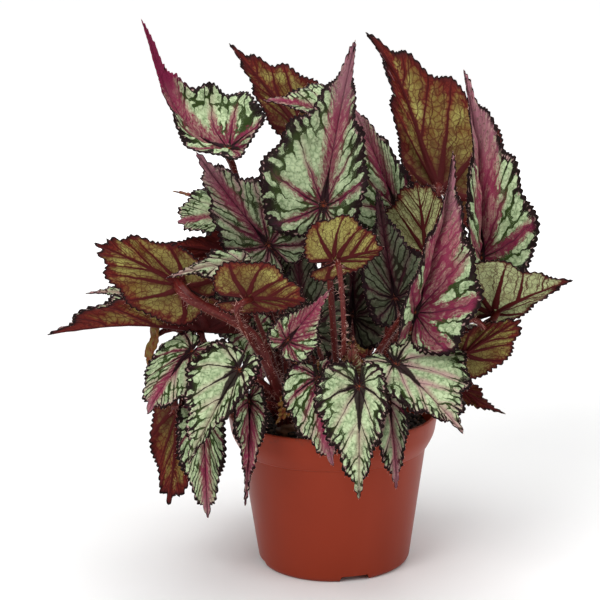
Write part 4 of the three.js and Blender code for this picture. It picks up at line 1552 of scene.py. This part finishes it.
def pale_paper():
    """A seamless pale floor, faintly mottled. Away from the plant it glows like a backlit sheet."""
    def look(paint):
        x, y, _ = paint.place_parts()
        tone = paint.noise(paint.place(), 6, 3)
        sheet = paint.mix(tone + 0.5, (0.93, 0.93, 0.93), (0.96, 0.96, 0.955))
        return sheet, tone * 0.05 + 0.9, tone, (x * x + y * y).root().between(0.3, 1.6) * 0.7
    return finish("stage_paper", look, bump=0.02, Emission_Color=(1, 1, 1, 1))


def softbox(name, place, size, power):
    """A square area light that looks at the plant's middle."""
    data = bpy.data.lights.new(name, "AREA")
    data.shape = "SQUARE"
    data.size = size
    data.energy = power
    light = bpy.data.objects.new(name, data)
    light.location = place
    light.rotation_euler = (PLANT_MIDDLE - Vector(place)).to_track_quat("-Z", "Y").to_euler()
    bpy.context.scene.collection.objects.link(light)


def light_room(scene, strength):
    """Even white light from all round."""
    world = bpy.data.worlds.new("room")
    world.use_nodes = True
    background = world.node_tree.nodes["Background"]
    background.inputs["Color"].default_value = (1, 1, 1, 1)
    background.inputs["Strength"].default_value = strength
    scene.world = world


def place_camera(scene, settings):
    """The camera in front of the plant, with its picture shifted to one side."""
    camera = bpy.data.cameras.new("camera")
    camera.sensor_width = SENSOR
    camera.lens = SENSOR * FOCAL_PIXELS / FRAME_PIXELS
    camera.shift_x = (FRAME_PIXELS / 2 - CENTRE_PIXELS) / FRAME_PIXELS
    camera.clip_end = VIEW_END
    viewer = bpy.data.objects.new("camera", camera)
    look = Matrix.Rotation(math.radians(90) - settings.tilt, 4, "X")
    viewer.matrix_world = (
        Matrix.Translation((0, -settings.distance, settings.height)) @ look
        @ Matrix.Rotation(settings.roll, 4, "Z")
    )
    scene.collection.objects.link(viewer)
    scene.camera = viewer


class BEGONIA_OT_stage(bpy.types.Operator):
    """Sets up the floor, the soft lights and the camera"""
    bl_idname = "begonia.stage"
    bl_label = "Stage"

    def execute(self, context):
        scene = context.scene
        settings = scene.begonia_stage
        bm = bmesh.new()
        bmesh.ops.create_circle(bm, cap_ends=True, segments=64, radius=FLOOR_RADIUS)
        floor = loose_object("floor", bm)
        floor.data.materials.append(pale_paper())
        powers = {
            "key": settings.key,
            "fill": settings.fill,
            "rim": settings.fill * RIM_SHARE,
            "top": settings.key,
        }
        for name, (place, size) in SOFTBOXES.items():
            softbox(name, place, size, powers[name])
        light_room(scene, settings.sky)
        scene.view_settings.view_transform = "Standard"
        place_camera(scene, settings)
        return {"FINISHED"}


class BEGONIA_PT_panel(bpy.types.Panel):
    """Lists the steps that build the plant, in order"""
    bl_idname = "BEGONIA_PT_panel"
    bl_label = "Potted Rex Begonia"
    bl_space_type = "VIEW_3D"
    bl_region_type = "UI"
    bl_category = "Begonia"

    def draw(self, context):
        for operator in OPERATORS:
            self.layout.operator(operator.bl_idname)
        for name in SETTINGS:
            box = self.layout.box()
            group = getattr(context.scene, name)
            for prop in group.bl_rna.properties:
                if prop.identifier not in {"rna_type", "name"}:
                    box.prop(group, prop.identifier)


SETTINGS = {
    "begonia_pot": PotSettings,
    "begonia_soil": SoilSettings,
    "begonia_stalks": StalkSettings,
    "begonia_blades": BladeSettings,
    "begonia_stage": StageSettings,
}
OPERATORS = (
    BEGONIA_OT_pot, BEGONIA_OT_soil, BEGONIA_OT_shoots, BEGONIA_OT_blades, BEGONIA_OT_blade_hairs,
    BEGONIA_OT_stage,
)


def register():
    for cls in (*SETTINGS.values(), *OPERATORS, BEGONIA_PT_panel):
        bpy.utils.register_class(cls)
    for name, group in SETTINGS.items():
        setattr(bpy.types.Scene, name, PointerProperty(type=group))


def unregister():
    for name in SETTINGS:
        delattr(bpy.types.Scene, name)
    for cls in reversed((*SETTINGS.values(), *OPERATORS, BEGONIA_PT_panel)):
        bpy.utils.unregister_class(cls)


def main():
    register()
    for step in ("pot", "soil", "shoots", "blades", "blade_hairs", "stage"):
        getattr(bpy.ops.begonia, step)()
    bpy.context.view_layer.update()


if __name__ == "__main__":
    main()
